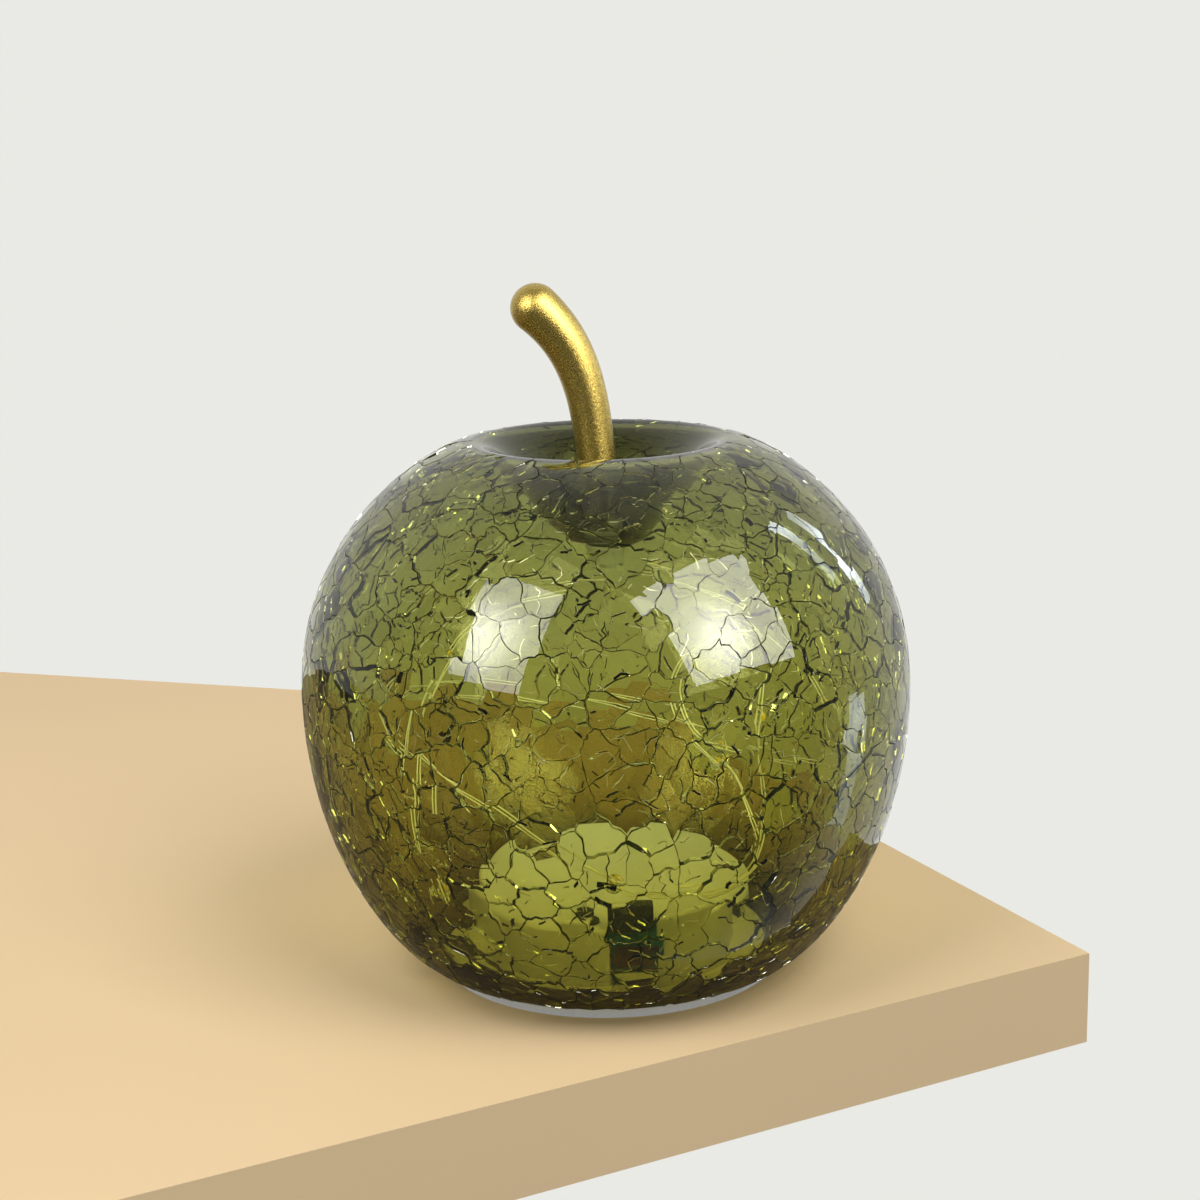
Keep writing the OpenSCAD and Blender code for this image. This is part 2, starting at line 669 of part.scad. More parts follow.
module switch_body() {
    slot_x = knob_w + 2 * (switch_travel + slide_gap);
    room_x = carriage_w + 2 * (switch_travel + slide_gap);
    room_y = switch_deep - 2 * switch_floor;
    color("silver") translate([board_x, switch_y, deck_z]) difference() {
        centred_box(switch_w, switch_deep, switch_h);
        translate([0, 0, switch_floor]) centred_box(room_x, room_y, switch_h - 2 * switch_floor);
        translate([0, 0, -over]) centred_box(slot_x, knob_deep + 2 * slide_gap, switch_floor + 2 * over);
    }
}

module switch_slider() {
    room_y = switch_deep - 2 * switch_floor;
    carriage_z = deck_z + switch_floor + slide_gap / 2;
    color([0.1, 0.1, 0.1]) translate([board_x, switch_y, 0]) {
        translate([0, 0, carriage_z])
        centred_box(carriage_w, room_y - 2 * slide_gap, switch_h - 2 * switch_floor - slide_gap);
        translate([0, 0, plate_z + rest_gap]) centred_box(knob_w, knob_deep, carriage_z - plate_z - rest_gap);
    }
}

module wire_grommet() {
    color([0.15, 0.15, 0.15]) translate([grommet_x, grommet_y, housing_top_z - housing_t]) difference() {
        union() {
            cylinder(r = grommet_r, h = housing_t);
            translate([0, 0, housing_t]) cylinder(r = grommet_lip_r, h = grommet_lip_t);
            translate([0, 0, -grommet_lip_t]) cylinder(r = grommet_lip_r - rest_gap, h = grommet_lip_t);
        }
        translate([0, 0, -grommet_lip_t - over])
        cylinder(r = grommet_bore_r, h = housing_t + 2 * (grommet_lip_t + over));
    }
}

wire_line = smoothed(wire_route);
echo(str("length of the fairy wire, mm: ", path_length(wire_line)));
echo(str("least gap of the fairy wire to itself, mm: ", least_gap(wire_line, wire_d, 6)));

module fairy_wire() {
    color([0.75, 0.7, 0.35]) tube(wire_line, [for (p = wire_line) wire_d / 2], wire_sides, [1, 0, 0]);
}

// Places its children at each light, with the wire upright
module at_lights() {
    for (i = [0:light_count - 1]) let (p = place_at(wire_line, first_light + i * light_pitch))
        stood(p[0], p[1]) children();
}

// Chip, beside the wire
module chip_block(gap) {
    chip_t = chip_w / 2;
    translate([wire_d / 2 + slide_gap - gap, -chip_w / 2 - gap, -chip_l / 2 - gap])
    cube([chip_t + 2 * gap, chip_w + 2 * gap, chip_l + 2 * gap]);
}

module light_drops() {
    drop_steps = 6;
    color([0.9, 0.9, 0.8, 0.5]) at_lights() difference() {
        rotate_extrude($fn = 24) polygon([for (i = [-drop_steps:drop_steps]) let (a = 90 * i / drop_steps)
            [drop_d / 2 * cos(a), drop_l / 2 * sin(a)]]);
        chip_block(pocket_gap);
    }
}

module light_chips() {
    color([0.9, 0.7, 0.05]) at_lights() chip_block(0);
}

glass_shell();
glass_bond();
stem();
stem_stud();
stem_gasket_upper();
stem_gasket_lower();
stem_washer();
stem_nut();
foot_ring();
base_plate();
housing_cover();
housing_screws();
battery_door();
door_screw();
battery(0);  // battery_1
battery(1);  // battery_2
battery(2);  // battery_3
battery_springs();
contact_plates();
battery_leads();
control_board();
timer_block();
board_connector();
switch_body();
switch_slider();
wire_grommet();
fairy_wire();
light_drops();
light_chips();
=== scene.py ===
"""Looks of a battery-lit ornament: a hollow apple of crackle glass with fairy lights inside, a gold
stem and a round white base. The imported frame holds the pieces; this script dresses them."""

import itertools
import math

import bpy
import numpy as np
from bpy.props import FloatProperty, FloatVectorProperty, IntProperty, PointerProperty
from mathutils import Matrix, Vector
from mathutils.geometry import delaunay_2d_cdt


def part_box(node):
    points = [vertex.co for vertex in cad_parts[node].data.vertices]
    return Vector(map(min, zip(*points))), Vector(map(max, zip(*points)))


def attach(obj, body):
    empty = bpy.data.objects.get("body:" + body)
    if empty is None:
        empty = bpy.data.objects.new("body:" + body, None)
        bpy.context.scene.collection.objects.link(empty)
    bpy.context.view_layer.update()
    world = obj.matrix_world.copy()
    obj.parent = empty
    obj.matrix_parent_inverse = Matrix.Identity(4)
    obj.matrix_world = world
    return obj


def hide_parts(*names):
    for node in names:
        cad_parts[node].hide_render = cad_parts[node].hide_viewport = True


bl_info = {
    "name": "Crackle Glass Apple",
    "version": (1, 0, 0),
    "blender": (4, 5, 0),
    "location": "View3D > Sidebar > Apple",
    "description": "Builds the looks of a lit crackle glass apple over its frame",
    "category": "Object",
}

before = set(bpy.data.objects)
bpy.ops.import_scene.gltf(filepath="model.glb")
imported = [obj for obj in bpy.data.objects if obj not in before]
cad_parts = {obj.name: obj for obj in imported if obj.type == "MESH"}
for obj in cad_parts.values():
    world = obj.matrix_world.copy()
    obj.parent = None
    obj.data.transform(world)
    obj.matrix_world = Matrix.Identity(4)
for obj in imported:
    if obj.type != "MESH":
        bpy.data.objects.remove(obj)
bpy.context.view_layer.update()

MM = 0.001
GOLDEN_ANGLE = math.pi * (3 - math.sqrt(5))
POLE = 1e-7  # radius, in metres, of a ring that closes to a point
APPLE = "apple"

# Places that the frame gives: lowest and highest corners, in metres
GLASS_LOW, GLASS_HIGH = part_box("glass_shell")
STUD_LOW, STUD_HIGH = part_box("stem_stud")
STEM_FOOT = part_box("stem")[0].z

# Handles of the glass's outline, as shares of the width or height between the ends of their curve
RIM_HANDLE, SHOULDER_HANDLE = 0.23, 0.66
BELLY_HANDLE, FOOT_HANDLE = 0.62, 0.26
FLOOR_HANDLE, LIP_HANDLE = 0.26, 0.43
OUTLINE_STEPS, DIMPLE_STEPS = 200, 34

# Painted shade at the glass's foot: shares of its low colour's red, green and blue that it keeps there
FOOT_PAINTED_SHADE = 0.4, 0.36, 0.14

# Painted shade: tone of the rings from the net's edge down into the dimple, and round the foot: ring numbers
# and tones
DIMPLE_PAINTED_SHADE = (0, 3, 9, 20), (1, 0.24, 0.27, 0.56)
FOOT_RING_PAINTED_SHADE = (0,), (0.8,)

# Route of the light wire in millimetres: out of the housing, up in a loop at the front right, across the
# front, round the back to the right and round once more
WIRE_ROUTE = (
    (-6, -29, 17.6), (-6, -29, 20.2), (-6, -29, 22.4), (-3, -31, 25.6), (6, -36, 28),
    (19, -40, 31), (29, -42, 34), (34, -42, 41), (33, -40, 48), (28, -34, 58),
    (19, -27, 66), (16, -23, 75), (21, -22, 84), (31, -26, 89), (37, -33, 84),
    (35, -38, 68), (36, -40, 55), (36, -43, 45), (32, -45, 37), (24, -46, 33),
    (12, -47, 32), (0, -46, 36), (-13, -44, 43), (-28, -41, 53), (-40, -35, 59),
    (-51, -18, 64), (-54, 6, 66), (-43, 31, 62), (-18, 48, 54), (14, 50, 46),
    (41, 35, 42), (55, 9, 47), (57, -6, 57), (53, 9, 68), (36, 35, 79),
    (4, 50, 84), (-29, 38, 80), (-46, 10, 62), (-47, -14, 40), (-40, -30, 25),
)

# Routes of both leads in millimetres, from their tabs over the bay and up into the connector
LEAD_ROUTES = (
    ((-28.2, -11, 11.5), (-28.2, -11, 13.6), (-26.6, -11, 15.8), (-19.893, -12.52, 16.4),
     (-8.07, -16.016, 16.4), (1.51, -20.12, 16.4), (3.75, -24.528, 17.2), (3.75, -26.2, 19.6),
     (3.75, -28.22, 21.9), (3.75, -30.237, 22.1)),
    ((28.2, 11, 11.5), (28.2, 11, 13.6), (26.6, 11, 15.8), (20.984, 2.816, 16.4),
     (13.09, -9.088, 16.4), (7.454, -18.76, 16.4), (5.65, -24.712, 17.2), (5.65, -26.2, 19.6),
     (5.65, -28.22, 21.9), (5.65, -30.237, 22.1)),
)

# Net of cracks: a cell's area over its width squared, nearly a hexagon's, and in cell widths the least
# distance of seeds from the zone's edges and the distance within which they are mirrored
CELL_AREA, EDGE_MARGIN, MIRROR_REACH = 0.87, 0.28, 1.6

# Rounds that draw the net's ragged points back, the least share of its size that a triangle keeps, and
# how much of the raggedness each round leaves
EASING_ROUNDS, SMALLEST_WEDGE, DRAWN_BACK = 14, 0.25, 0.6

# Waves that bend the net: order of the axes, radians per millimetre, phases and reach in millimetres
WAVES = (
    ((1, 2, 0), 0.9, (1, 2, 3), 0.2),
    ((2, 0, 1), 1.7, (0, 0, 0), 0.08),
    ((0, 1, 2), 0.31, (5, 1, 4), 0.9),
)

# Shares of the way from rim to foot over which the waves and the cells' leans fade out, and tones of cells
WAVE_FADE, LEAN_FADE = 0.03, 0.02
CELL_TONES = 0.86, 1.02

# Cracks: spreads of their widths from crack to crack and step to step and of their depths, least and
# greatest share of the width, and least and greatest depth
CRACK_SPREAD, STEP_SPREAD, DEPTH_SPREAD = 0.3, 0.35, 0.35
WIDTH_LIMITS = 0.35, 2.1
SHALLOWEST, DEEPEST = 0.2 * MM, 2.2 * MM

# Widths along a crack, from end to end, as shares of its own, and two slow waves of all widths: radians
# per millimetre along x, y and z, phases and share of the width
END_WIDTHS = (0, 0.25, 0.75, 1), (0.6, 1, 1, 0.6)
SLOW_WAVES, SLOW_PHASES, SLOW_SHARE = ((0.11, 0.05), (-0.07, 0.13), (0.09, -0.1)), (1, 4), 0.25


def length(name, description, size):
    """A size whose default is given in millimetres."""
    return FloatProperty(name=name, description=description, default=size * MM, unit="LENGTH")


def angle(name, description, size):
    """An angle whose default is given in degrees."""
    return FloatProperty(name=name, description=description, default=math.radians(size), subtype="ANGLE")


def number(name, description, size):
    """A plain number."""
    return FloatProperty(name=name, description=description, default=size)


def shade(name, description, colour):
    """A colour."""
    return FloatVectorProperty(name=name, description=description, default=colour, subtype="COLOR", size=3)


class GlassSizes(bpy.types.PropertyGroup):
    belly_height: length("Belly height", "Height of the widest ring", 71)
    rim_width: length("Rim width", "Diameter of the rim's highest ring", 62.6)
    wall: length("Wall", "Thickness of the glass", 2.6)
    dimple_depth: length("Dimple depth", "Depth of the dimple below the rim", 21.8)
    dimple_floor: length("Dimple floor", "Diameter of the dimple's flat floor", 16)
    stud_hole: length("Stud hole", "Diameter of the hole in the dimple", 5.2)
    mouth: length("Mouth", "Diameter of the open mouth", 80.2)
    foot: length("Foot", "Outer diameter of the ground foot", 89.2)
    tint: shade("Tint", "Colour of the glass at its faces", (0.825, 0.845, 0.535))
    # Painted shade and painted warm floor light: the glass darker and warmer low down
    painted_low_shade: shade("Low tint", "Colour of the glass low down", (0.7, 0.645, 0.185))
    # Painted reflection: the glass greyer round the rim for the pale room that it mirrors
    top_painted_reflection: shade("Top tint", "Colour of the glass round the rim", (0.70, 0.725, 0.51))
    depth_tint: shade("Depth tint", "Colour that the glass keeps inside", (0.54, 0.55, 0.11))
    density: number("Density", "Absorption inside the glass, per metre", 300)


class CrackleSizes(bpy.types.PropertyGroup):
    cell: length("Cell", "Mean width of a crackle cell", 7.9)
    jitter: number("Jitter", "Irregularity of the cells, as a share of their width", 0.25)
    outer_tilt: number("Outer tilt", "Tilt of a cell's outer face, in radians", 0.017)
    inner_tilt: number("Inner tilt", "Tilt of a cell's inner face, in radians", 0.034)
    width: length("Crack width", "Width of a crack at its mouth", 0.21)
    depth: length("Crack depth", "Mean depth of a crack", 1)
    hair_cell: length("Hair cell", "Mean spacing of the hair cracks", 3.2)
    hair_share: number("Hair share", "Share of the fine net that is cracked", 0.19)
    seed: IntProperty(name="Seed", description="Start of the random numbers", default=11)


class StemSizes(bpy.types.PropertyGroup):
    reach: length("Reach", "Sideways reach of the head", 14.8)
    rise: length("Rise", "Height of the head's middle above the foot", 52.4)
    bow: length("Bow", "Sideways bow of the lower half", 1.6)
    head_angle: angle("Head angle", "Angle of the head away from upright", 48)
    foot: length("Foot", "Diameter at the foot", 9.4)
    head: length("Head", "Diameter of the head", 12)
    gold: shade("Gold", "Colour of the gold paint", (0.53, 0.385, 0.09))


class WireSizes(bpy.types.PropertyGroup):
    pair: length("Pair", "Width of the pair of strands", 1.2)
    strand: length("Strand", "Diameter of one strand", 0.38)
    twist: length("Twist", "Length of one full twist of the pair", 64)
    first_light: length("First light", "Way along the wire to the first light", 77)
    pitch: length("Light pitch", "Way from one light to the next", 69)
    lights: IntProperty(name="Lights", description="Number of lights", default=10)
    drop_length: length("Droplet length", "Length of a clear droplet", 4.6)
    drop_width: length("Droplet width", "Width of a clear droplet", 3.1)


class StageSizes(bpy.types.PropertyGroup):
    camera_back: length("Camera distance", "From the apple's axis to the camera", 520.8)
    camera_height: length("Camera height", "Above the floor", 214.6)
    camera_side: length("Camera side", "Sideways place of the camera", -0.94)
    camera_pitch: angle("Camera pitch", "Angle that the camera looks down", 13.29)
    camera_roll: angle("Camera roll", "Lean of the camera to one side", -1.33)
    lens: number("Lens", "Focal length in millimetres", 65.1)
    floor_thick: length("Floor thickness", "Height of the floor board's side", 24)
    floor_colour: shade("Floor colour", "Colour of the floor", (0.68, 0.51, 0.30))
    wall_colour: shade("Wall colour", "Colour of the room beyond", (0.82, 0.82, 0.785))


# Numbers on arrays

def unit(vectors):
    """Each vector divided by its length."""
    return vectors / np.linalg.norm(vectors, axis=-1, keepdims=True)


def dot(a, b):
    """Dot product over the last axis, which is kept."""
    return np.sum(a * b, axis=-1, keepdims=True)


def bezier(points, count):
    """Cubic curve: the sum of the four points weighted by (1-t)^3, 3t(1-t)^2, 3t^2(1-t) and t^3."""
    t = np.linspace(0, 1, count)[:, None]
    a, b, c, d = np.array(points, float)
    return (1 - t) ** 3 * a + 3 * t * (1 - t) ** 2 * b + 3 * t ** 2 * (1 - t) * c + t ** 3 * d


def four_point(path, rounds):
    """Smooths a path: each round puts a point (9 (b + c) - a - d) / 16 between b and c, where a and d are
    their outer neighbours."""
    for _ in range(rounds):
        a = np.concatenate([path[:1], path[:-2]])
        d = np.concatenate([path[2:], path[-1:]])
        mixed = np.empty((2 * len(path) - 1, path.shape[1]))
        mixed[0::2] = path
        mixed[1::2] = (9 * (path[:-1] + path[1:]) - a - d) / 16
        path = mixed
    return path


def way_along(path):
    """Length of the path up to each of its points."""
    steps = np.linalg.norm(np.diff(path, axis=0), axis=1)
    return np.concatenate([[0], np.cumsum(steps)])


def tangents(path):
    """Unit direction at each point: from its neighbour before to its neighbour after."""
    ends = np.concatenate([path[:1], path, path[-1:]])
    return unit(ends[2:] - ends[:-2])


def carried(directions, start):
    """Sideways normals along a path: each is the one before with its part along the path taken off."""
    first = start - np.dot(start, directions[0]) * directions[0]
    turn = itertools.accumulate(directions[1:], lambda n, t: unit(n - np.dot(n, t) * t), initial=unit(first))
    return np.array(list(turn))


def at_way(path, ways):
    """Points and directions at the given lengths along a path."""
    run = way_along(path)
    points, headings = (np.stack([np.interp(ways, run, rows[:, k]) for k in range(3)], 1)
                        for rows in (path, tangents(path)))
    return points, unit(headings)


# Meshes from arrays

def make_piece(name, points, groups, materials, body=APPLE, smooth=True, slots=None):
    """A piece from an array of points and a list of arrays of faces. Slots give the place of each array's
    material in the list of materials."""
    mesh = bpy.data.meshes.new(name)
    corners = np.concatenate([faces.reshape(-1) for faces in groups]).astype(np.int32)
    sizes = np.concatenate([np.full(len(faces), faces.shape[1]) for faces in groups])
    slots = np.repeat(slots or [0] * len(groups), [len(faces) for faces in groups])
    starts = np.concatenate([[0], np.cumsum(sizes)[:-1]]).astype(np.int32)
    mesh.vertices.add(len(points))
    mesh.vertices.foreach_set("co", np.asarray(points, np.float32).reshape(-1))
    mesh.loops.add(len(corners))
    mesh.loops.foreach_set("vertex_index", corners)
    mesh.polygons.add(len(sizes))
    mesh.polygons.foreach_set("loop_start", starts)
    mesh.polygons.foreach_set("material_index", slots.astype(np.int32))
    mesh.polygons.foreach_set("use_smooth", np.full(len(sizes), smooth))
    mesh.update(calc_edges=True)
    for material in materials:
        mesh.materials.append(material)
    piece = bpy.data.objects.new(name, mesh)
    bpy.context.scene.collection.objects.link(piece)
    if body:
        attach(piece, body)
    return piece


def circle(sides):
    """Cosines and sines of the angles 360 k / sides."""
    a = np.arange(sides) * 2 * math.pi / sides
    return np.cos(a), np.sin(a)


def carry(path, radii, sides, start, aside=0.0, turn=0.0):
    """Rings carried along a path: the point k of ring i lies at
    path[i] + radii[i] (cos a n[i] + sin a (t[i] x n[i])), a = 360 k / sides, where n is carried along the
    path. The rings' middles are moved aside from the path, at the angle turn."""
    t = tangents(path)
    n = carried(t, np.array(start, float))
    b = np.cross(t, n)
    turn = np.broadcast_to(turn, len(path))[:, None]
    middle = path + aside * (np.cos(turn) * n + np.sin(turn) * b)
    c, s = circle(sides)
    ring = c[None, :, None] * n[:, None] + s[None, :, None] * b[:, None]
    return middle[:, None] + radii[:, None, None] * ring


def closed_rings(rings):
    """Points and faces of a tube of rings: quads between the rings, and fans over its ends."""
    rows, sides = rings.shape[:2]
    points = np.concatenate([rings.reshape(-1, 3), rings[:1].mean(1), rings[-1:].mean(1)])
    k = np.arange(sides)
    n = (k + 1) % sides
    row = np.arange(rows - 1)[:, None] * sides
    quads = np.stack([row + k, row + n, row + sides + n, row + sides + k], -1).reshape(-1, 4)
    last = (rows - 1) * sides
    low = np.stack([np.full(sides, rows * sides), n, k], 1)
    high = np.stack([np.full(sides, rows * sides + 1), last + k, last + n], 1)
    return points, [quads, np.concatenate([low, high])]


def tube(path, radii, sides, start=(1, 0, 0), aside=0.0, turn=0.0):
    """A closed tube of one radius, or of one for each point of its path. Its ends may close to points."""
    radii = np.maximum(np.broadcast_to(radii, len(path)), POLE)
    return closed_rings(carry(path, radii, sides, start, aside, turn))


def joined(parts):
    """Several tubes as one: the faces of each count on from the points before. The quads of all tubes come
    first, and then the fans of all."""
    starts = np.cumsum([0] + [len(points) for points, _ in parts[:-1]])
    faces = [part[1][kind] + start for kind in (0, 1) for part, start in zip(parts, starts)]
    return np.concatenate([points for points, _ in parts]), faces


# Shape of the apple

def apple_line(sizes):
    """Half outlines of the glass as (radius, height, outward normal) rows: the dimple from the hole up to
    the rim, and the body from the rim down to the foot. They are cubic curves with the frame's handles."""
    rim, belly, foot = sizes.rim_width / 2, GLASS_HIGH.x, sizes.foot / 2
    top, foot_z, belly_z = GLASS_HIGH.z, GLASS_LOW.z, sizes.belly_height
    floor_r, floor_z = sizes.dimple_floor / 2, GLASS_HIGH.z - sizes.dimple_depth
    high = bezier([(rim, top), (rim + RIM_HANDLE * (belly - rim), top),
                   (belly, belly_z + SHOULDER_HANDLE * (top - belly_z)), (belly, belly_z)], OUTLINE_STEPS)
    low = bezier([(belly, belly_z), (belly, belly_z - BELLY_HANDLE * (belly_z - foot_z)),
                  (foot + FOOT_HANDLE * (belly - foot), foot_z), (foot, foot_z)], OUTLINE_STEPS)
    dimple = bezier([(floor_r, floor_z), (floor_r + FLOOR_HANDLE * (rim - floor_r), floor_z),
                     (rim - LIP_HANDLE * (rim - floor_r), top), (rim, top)], DIMPLE_STEPS)
    dimple = np.concatenate([[(sizes.stud_hole / 2, floor_z)], dimple])
    return with_normals(dimple), with_normals(np.concatenate([high, low[1:]]))


def with_normals(line):
    """Adds the normal to each point of a line: its direction turned a quarter to the left."""
    t = tangents(line)
    return np.concatenate([line, np.stack([-t[:, 1], t[:, 0]], 1)], 1)


class Skin:
    """Carries the unit sphere to the apple's body so that areas keep their sizes. The share of the area
    between rim and foot above a point of the body equals the share of the sphere's height above it."""

    def __init__(self, body):
        self.body = body
        r = body[:, 0]
        steps = np.linalg.norm(np.diff(body[:, :2], axis=0), axis=1)
        self.area = np.concatenate([[0], np.cumsum(2 * math.pi * steps * (r[1:] + r[:-1]) / 2)])
        self.radius = self.sphere_radius(r[0], r[-1])
        self.top = math.sqrt(1 - (r[0] / self.radius) ** 2)
        self.bottom = -math.sqrt(1 - (r[-1] / self.radius) ** 2)

    def sphere_radius(self, rim, foot):
        """Radius at which the sphere's zone between circles as wide as rim and foot has the body's area,
        found by halving."""
        low, high = max(rim, foot), 3 * max(self.body[:, 0])
        for _ in range(60):
            middle = (low + high) / 2
            zone = math.sqrt(middle ** 2 - rim ** 2) + math.sqrt(middle ** 2 - foot ** 2)
            if 2 * math.pi * middle * zone < self.area[-1]:
                low = middle
            else:
                high = middle
        return middle

    def share(self, directions):
        """Share of the way from rim to foot, by area, of points on the sphere."""
        return (self.top - directions[..., 2]) / (self.top - self.bottom)

    def away(self, directions, width):
        """Rises from 0 on both edges of the zone to 1 at the share width away from them."""
        share = self.share(directions)
        return np.clip(np.minimum(share, 1 - share) / width, 0, 1)[..., None]

    def place(self, directions, depth=0.0):
        """Points and outward normals on the body for points on the sphere, at a depth under the surface."""
        area = self.share(directions) * self.area[-1]
        r, z, nr, nz = (np.interp(area, self.area, self.body[:, k]) for k in range(4))
        flat = unit(directions[..., :2])
        normal = unit(np.stack([nr * flat[..., 0], nr * flat[..., 1], nz], -1))
        point = np.stack([r * flat[..., 0], r * flat[..., 1], z], -1)
        return point - depth * normal, normal


# Crackle

def scattered(count, jitter, rng):
    """Points over the unit sphere: the i-th lies at the height 1 - (2i + 1) / count, turned by i golden
    angles, and is then moved by a random vector of jitter times the mean spacing."""
    i = np.arange(count)
    height = 1 - (2 * i + 1) / count
    flat = np.sqrt(1 - height ** 2)
    points = np.stack([flat * np.cos(i * GOLDEN_ANGLE), flat * np.sin(i * GOLDEN_ANGLE), height], 1)
    return unit(points + rng.normal(size=points.shape) * jitter * math.sqrt(4 * math.pi / count))


def from_top(points):
    """Angle between each point of the sphere and its top."""
    return np.arccos(np.clip(points[:, 2], -1, 1))


def mirrored(points, height, reach):
    """The points within reach of the circle at a height of the sphere, reflected to its other side."""
    edge = math.acos(height)
    near = np.abs(from_top(points) - edge) < reach
    far = 2 * edge - from_top(points[near])
    return np.concatenate([unit(points[near, :2]) * np.sin(far)[:, None], np.cos(far)[:, None]], 1)


def neighbour_triangles(points):
    """Triangles that join neighbouring points of the sphere, turned outwards. They are the flat Delaunay
    triangles of the points' images (x, y) / (1 + z), because this projection keeps circles round."""
    images = points[:, :2] / (1 + points[:, 2:])
    made = delaunay_2d_cdt(list(map(Vector, images.tolist())), [], [], 0, 1e-8)
    triangles = np.array(made[3]).reshape(-1)[np.array(made[2])]
    inward = signed(points, triangles) < 0
    triangles[inward] = triangles[inward][:, ::-1]
    return triangles


def signed(points, faces):
    """Twice the area of each triangle on the sphere, below zero where it faces inwards."""
    a, b, c = points[faces].transpose(1, 0, 2)
    return dot(np.cross(b - a, c - a), a)[:, 0]


class CrackNet:
    """Net of cracks over the sphere's zone between two circles. Its cells are the areas nearest to
    scattered seeds: their corners are the normals of the triangles of neighbours, and two cells whose seeds
    share an edge meet in one crack, split into a few steps and made ragged."""

    def __init__(self, skin, spacing, jitter, steps, rag, rng):
        self.skin = skin
        reach, margin = (share * spacing / skin.radius for share in (MIRROR_REACH, EDGE_MARGIN))
        seeds = scattered(int(4 * math.pi * skin.radius ** 2 / (CELL_AREA * spacing ** 2)), jitter, rng)
        angles = from_top(seeds)
        seeds = seeds[(angles > math.acos(skin.top) + margin) & (angles < math.acos(skin.bottom) - margin)]
        self.cells = len(seeds)
        beyond = [mirrored(seeds, height, reach) for height in (skin.top, skin.bottom)]
        everything = np.concatenate([seeds, *beyond])
        triangles = neighbour_triangles(everything)
        a, b, c = everything[triangles].transpose(1, 0, 2)
        self.find_cracks(triangles)
        self.find_points(unit(np.cross(b - a, c - a)), steps, rag, rng)

    def find_cracks(self, triangles):
        """Seeds i and j of each edge between two triangles, and the corners to its right and left as seen
        from i to j."""
        start = triangles.reshape(-1)
        end = np.roll(triangles, -1, axis=1).reshape(-1)
        owner = np.repeat(np.arange(len(triangles)), 3)
        low, high = np.minimum(start, end), np.maximum(start, end)
        order = np.lexsort((high, low))
        first, second = order[:-1], order[1:]
        twice = (low[first] == low[second]) & (high[first] == high[second])
        first, second = first[twice], second[twice]
        pair = np.stack([start[first], end[first], owner[second], owner[first]], 1)
        pair = pair[(pair[:, :2] < self.cells).any(1)]
        flip = pair[:, 0] >= self.cells
        pair[flip] = pair[flip][:, [1, 0, 3, 2]]
        self.i, self.j, self.right, self.left = pair.T
        self.on_edge = self.j >= self.cells

    def find_points(self, corners, steps, rag, rng):
        """Points of the net: the cells' middles, the corners and the steps along each crack. Those on the
        zone's edges are set exactly on them. The steps go astray by the rag times a crack's length, and
        everything follows a field of waves."""
        used = np.unique(np.concatenate([self.right, self.left]))
        rim = np.unique(np.concatenate([self.right[self.on_edge], self.left[self.on_edge]]))
        corners[rim] = self.levelled(corners[rim])
        t = np.linspace(0, 1, steps + 1)[None, 1:-1, None]
        a, b = corners[self.right], corners[self.left]
        middles = np.zeros((self.cells, 3))
        both = ~self.on_edge
        np.add.at(middles, self.i, a + b)
        np.add.at(middles, self.j[both], (a + b)[both])
        inner = unit(a[:, None] * (1 - t) + b[:, None] * t)
        inner[self.on_edge] = self.levelled(inner[self.on_edge])
        astray = rng.normal(size=(len(a), steps - 1, 1)) * rag * both[:, None, None]
        across = np.cross(unit(a + b), b - a)[:, None] * astray
        place = np.full(len(corners), -1)
        place[used] = np.arange(len(used)) + self.cells
        grid = (np.arange(inner.shape[0] * inner.shape[1]) + self.cells + len(used)).reshape(inner.shape[:2])
        self.path = np.concatenate([place[self.right][:, None], grid, place[self.left][:, None]], 1)
        fixed = np.concatenate([unit(middles), corners[used]])
        straight = np.concatenate([fixed, inner.reshape(-1, 3)])
        ragged = np.concatenate([fixed, (inner + across).reshape(-1, 3)])
        self.points = self.eased(straight, self.waved(unit(ragged)))

    def eased(self, straight, ragged):
        """The ragged points, drawn back towards the straight ones round each triangle that would shrink
        below a share of its size or turn over."""
        faces = self.wedges()[0]
        keep = np.ones((len(straight), 1))
        full = signed(straight, faces)
        for _ in range(EASING_ROUNDS):
            points = unit(straight + keep * (ragged - straight))
            small = signed(points, faces) < SMALLEST_WEDGE * full
            keep[np.unique(faces[small])] *= DRAWN_BACK
        return points

    def levelled(self, points):
        """Points moved to the nearer edge of the zone, each at its own angle round the axis."""
        height = np.where(points[..., 2] > 0, self.skin.top, self.skin.bottom)
        flat = unit(points[..., :2]) * np.sqrt(1 - height ** 2)[..., None]
        return np.concatenate([flat, height[..., None]], -1)

    def waved(self, points):
        """Each point moved along the sphere by a sum of sine waves, a tenth less upwards than sideways,
        which fades out at the zone's edges."""
        at = points * self.skin.radius / MM
        push = sum(np.sin(at[:, axes] * often + phases) * reach for axes, often, phases, reach in WAVES)
        fade = self.skin.away(points, WAVE_FADE)
        return unit(points + fade * push * MM / self.skin.radius * np.array([1, 1, 0.9]))

    def wedges(self):
        """Triangles from each cell's seed to the steps of its cracks, with the cell of each."""
        p, q = self.path[:, :-1], self.path[:, 1:]
        own = np.stack([np.broadcast_to(self.i[:, None], p.shape), p, q], -1)
        both = ~self.on_edge
        other = np.stack([np.broadcast_to(self.j[both][:, None], p[both].shape), q[both], p[both]], -1)
        faces = np.concatenate([own.reshape(-1, 3), other.reshape(-1, 3)])
        return faces, faces[:, 0]

    def ring(self, top):
        """Points on the upper or lower edge of the zone and their angles, in order round the axis."""
        side = self.points[self.path[:, 0], 2] > 0
        chosen = np.unique(self.path[self.on_edge & (side if top else ~side)])
        turn = np.arctan2(self.points[chosen, 1], self.points[chosen, 0])
        order = np.argsort(turn)
        return chosen[order], turn[order]


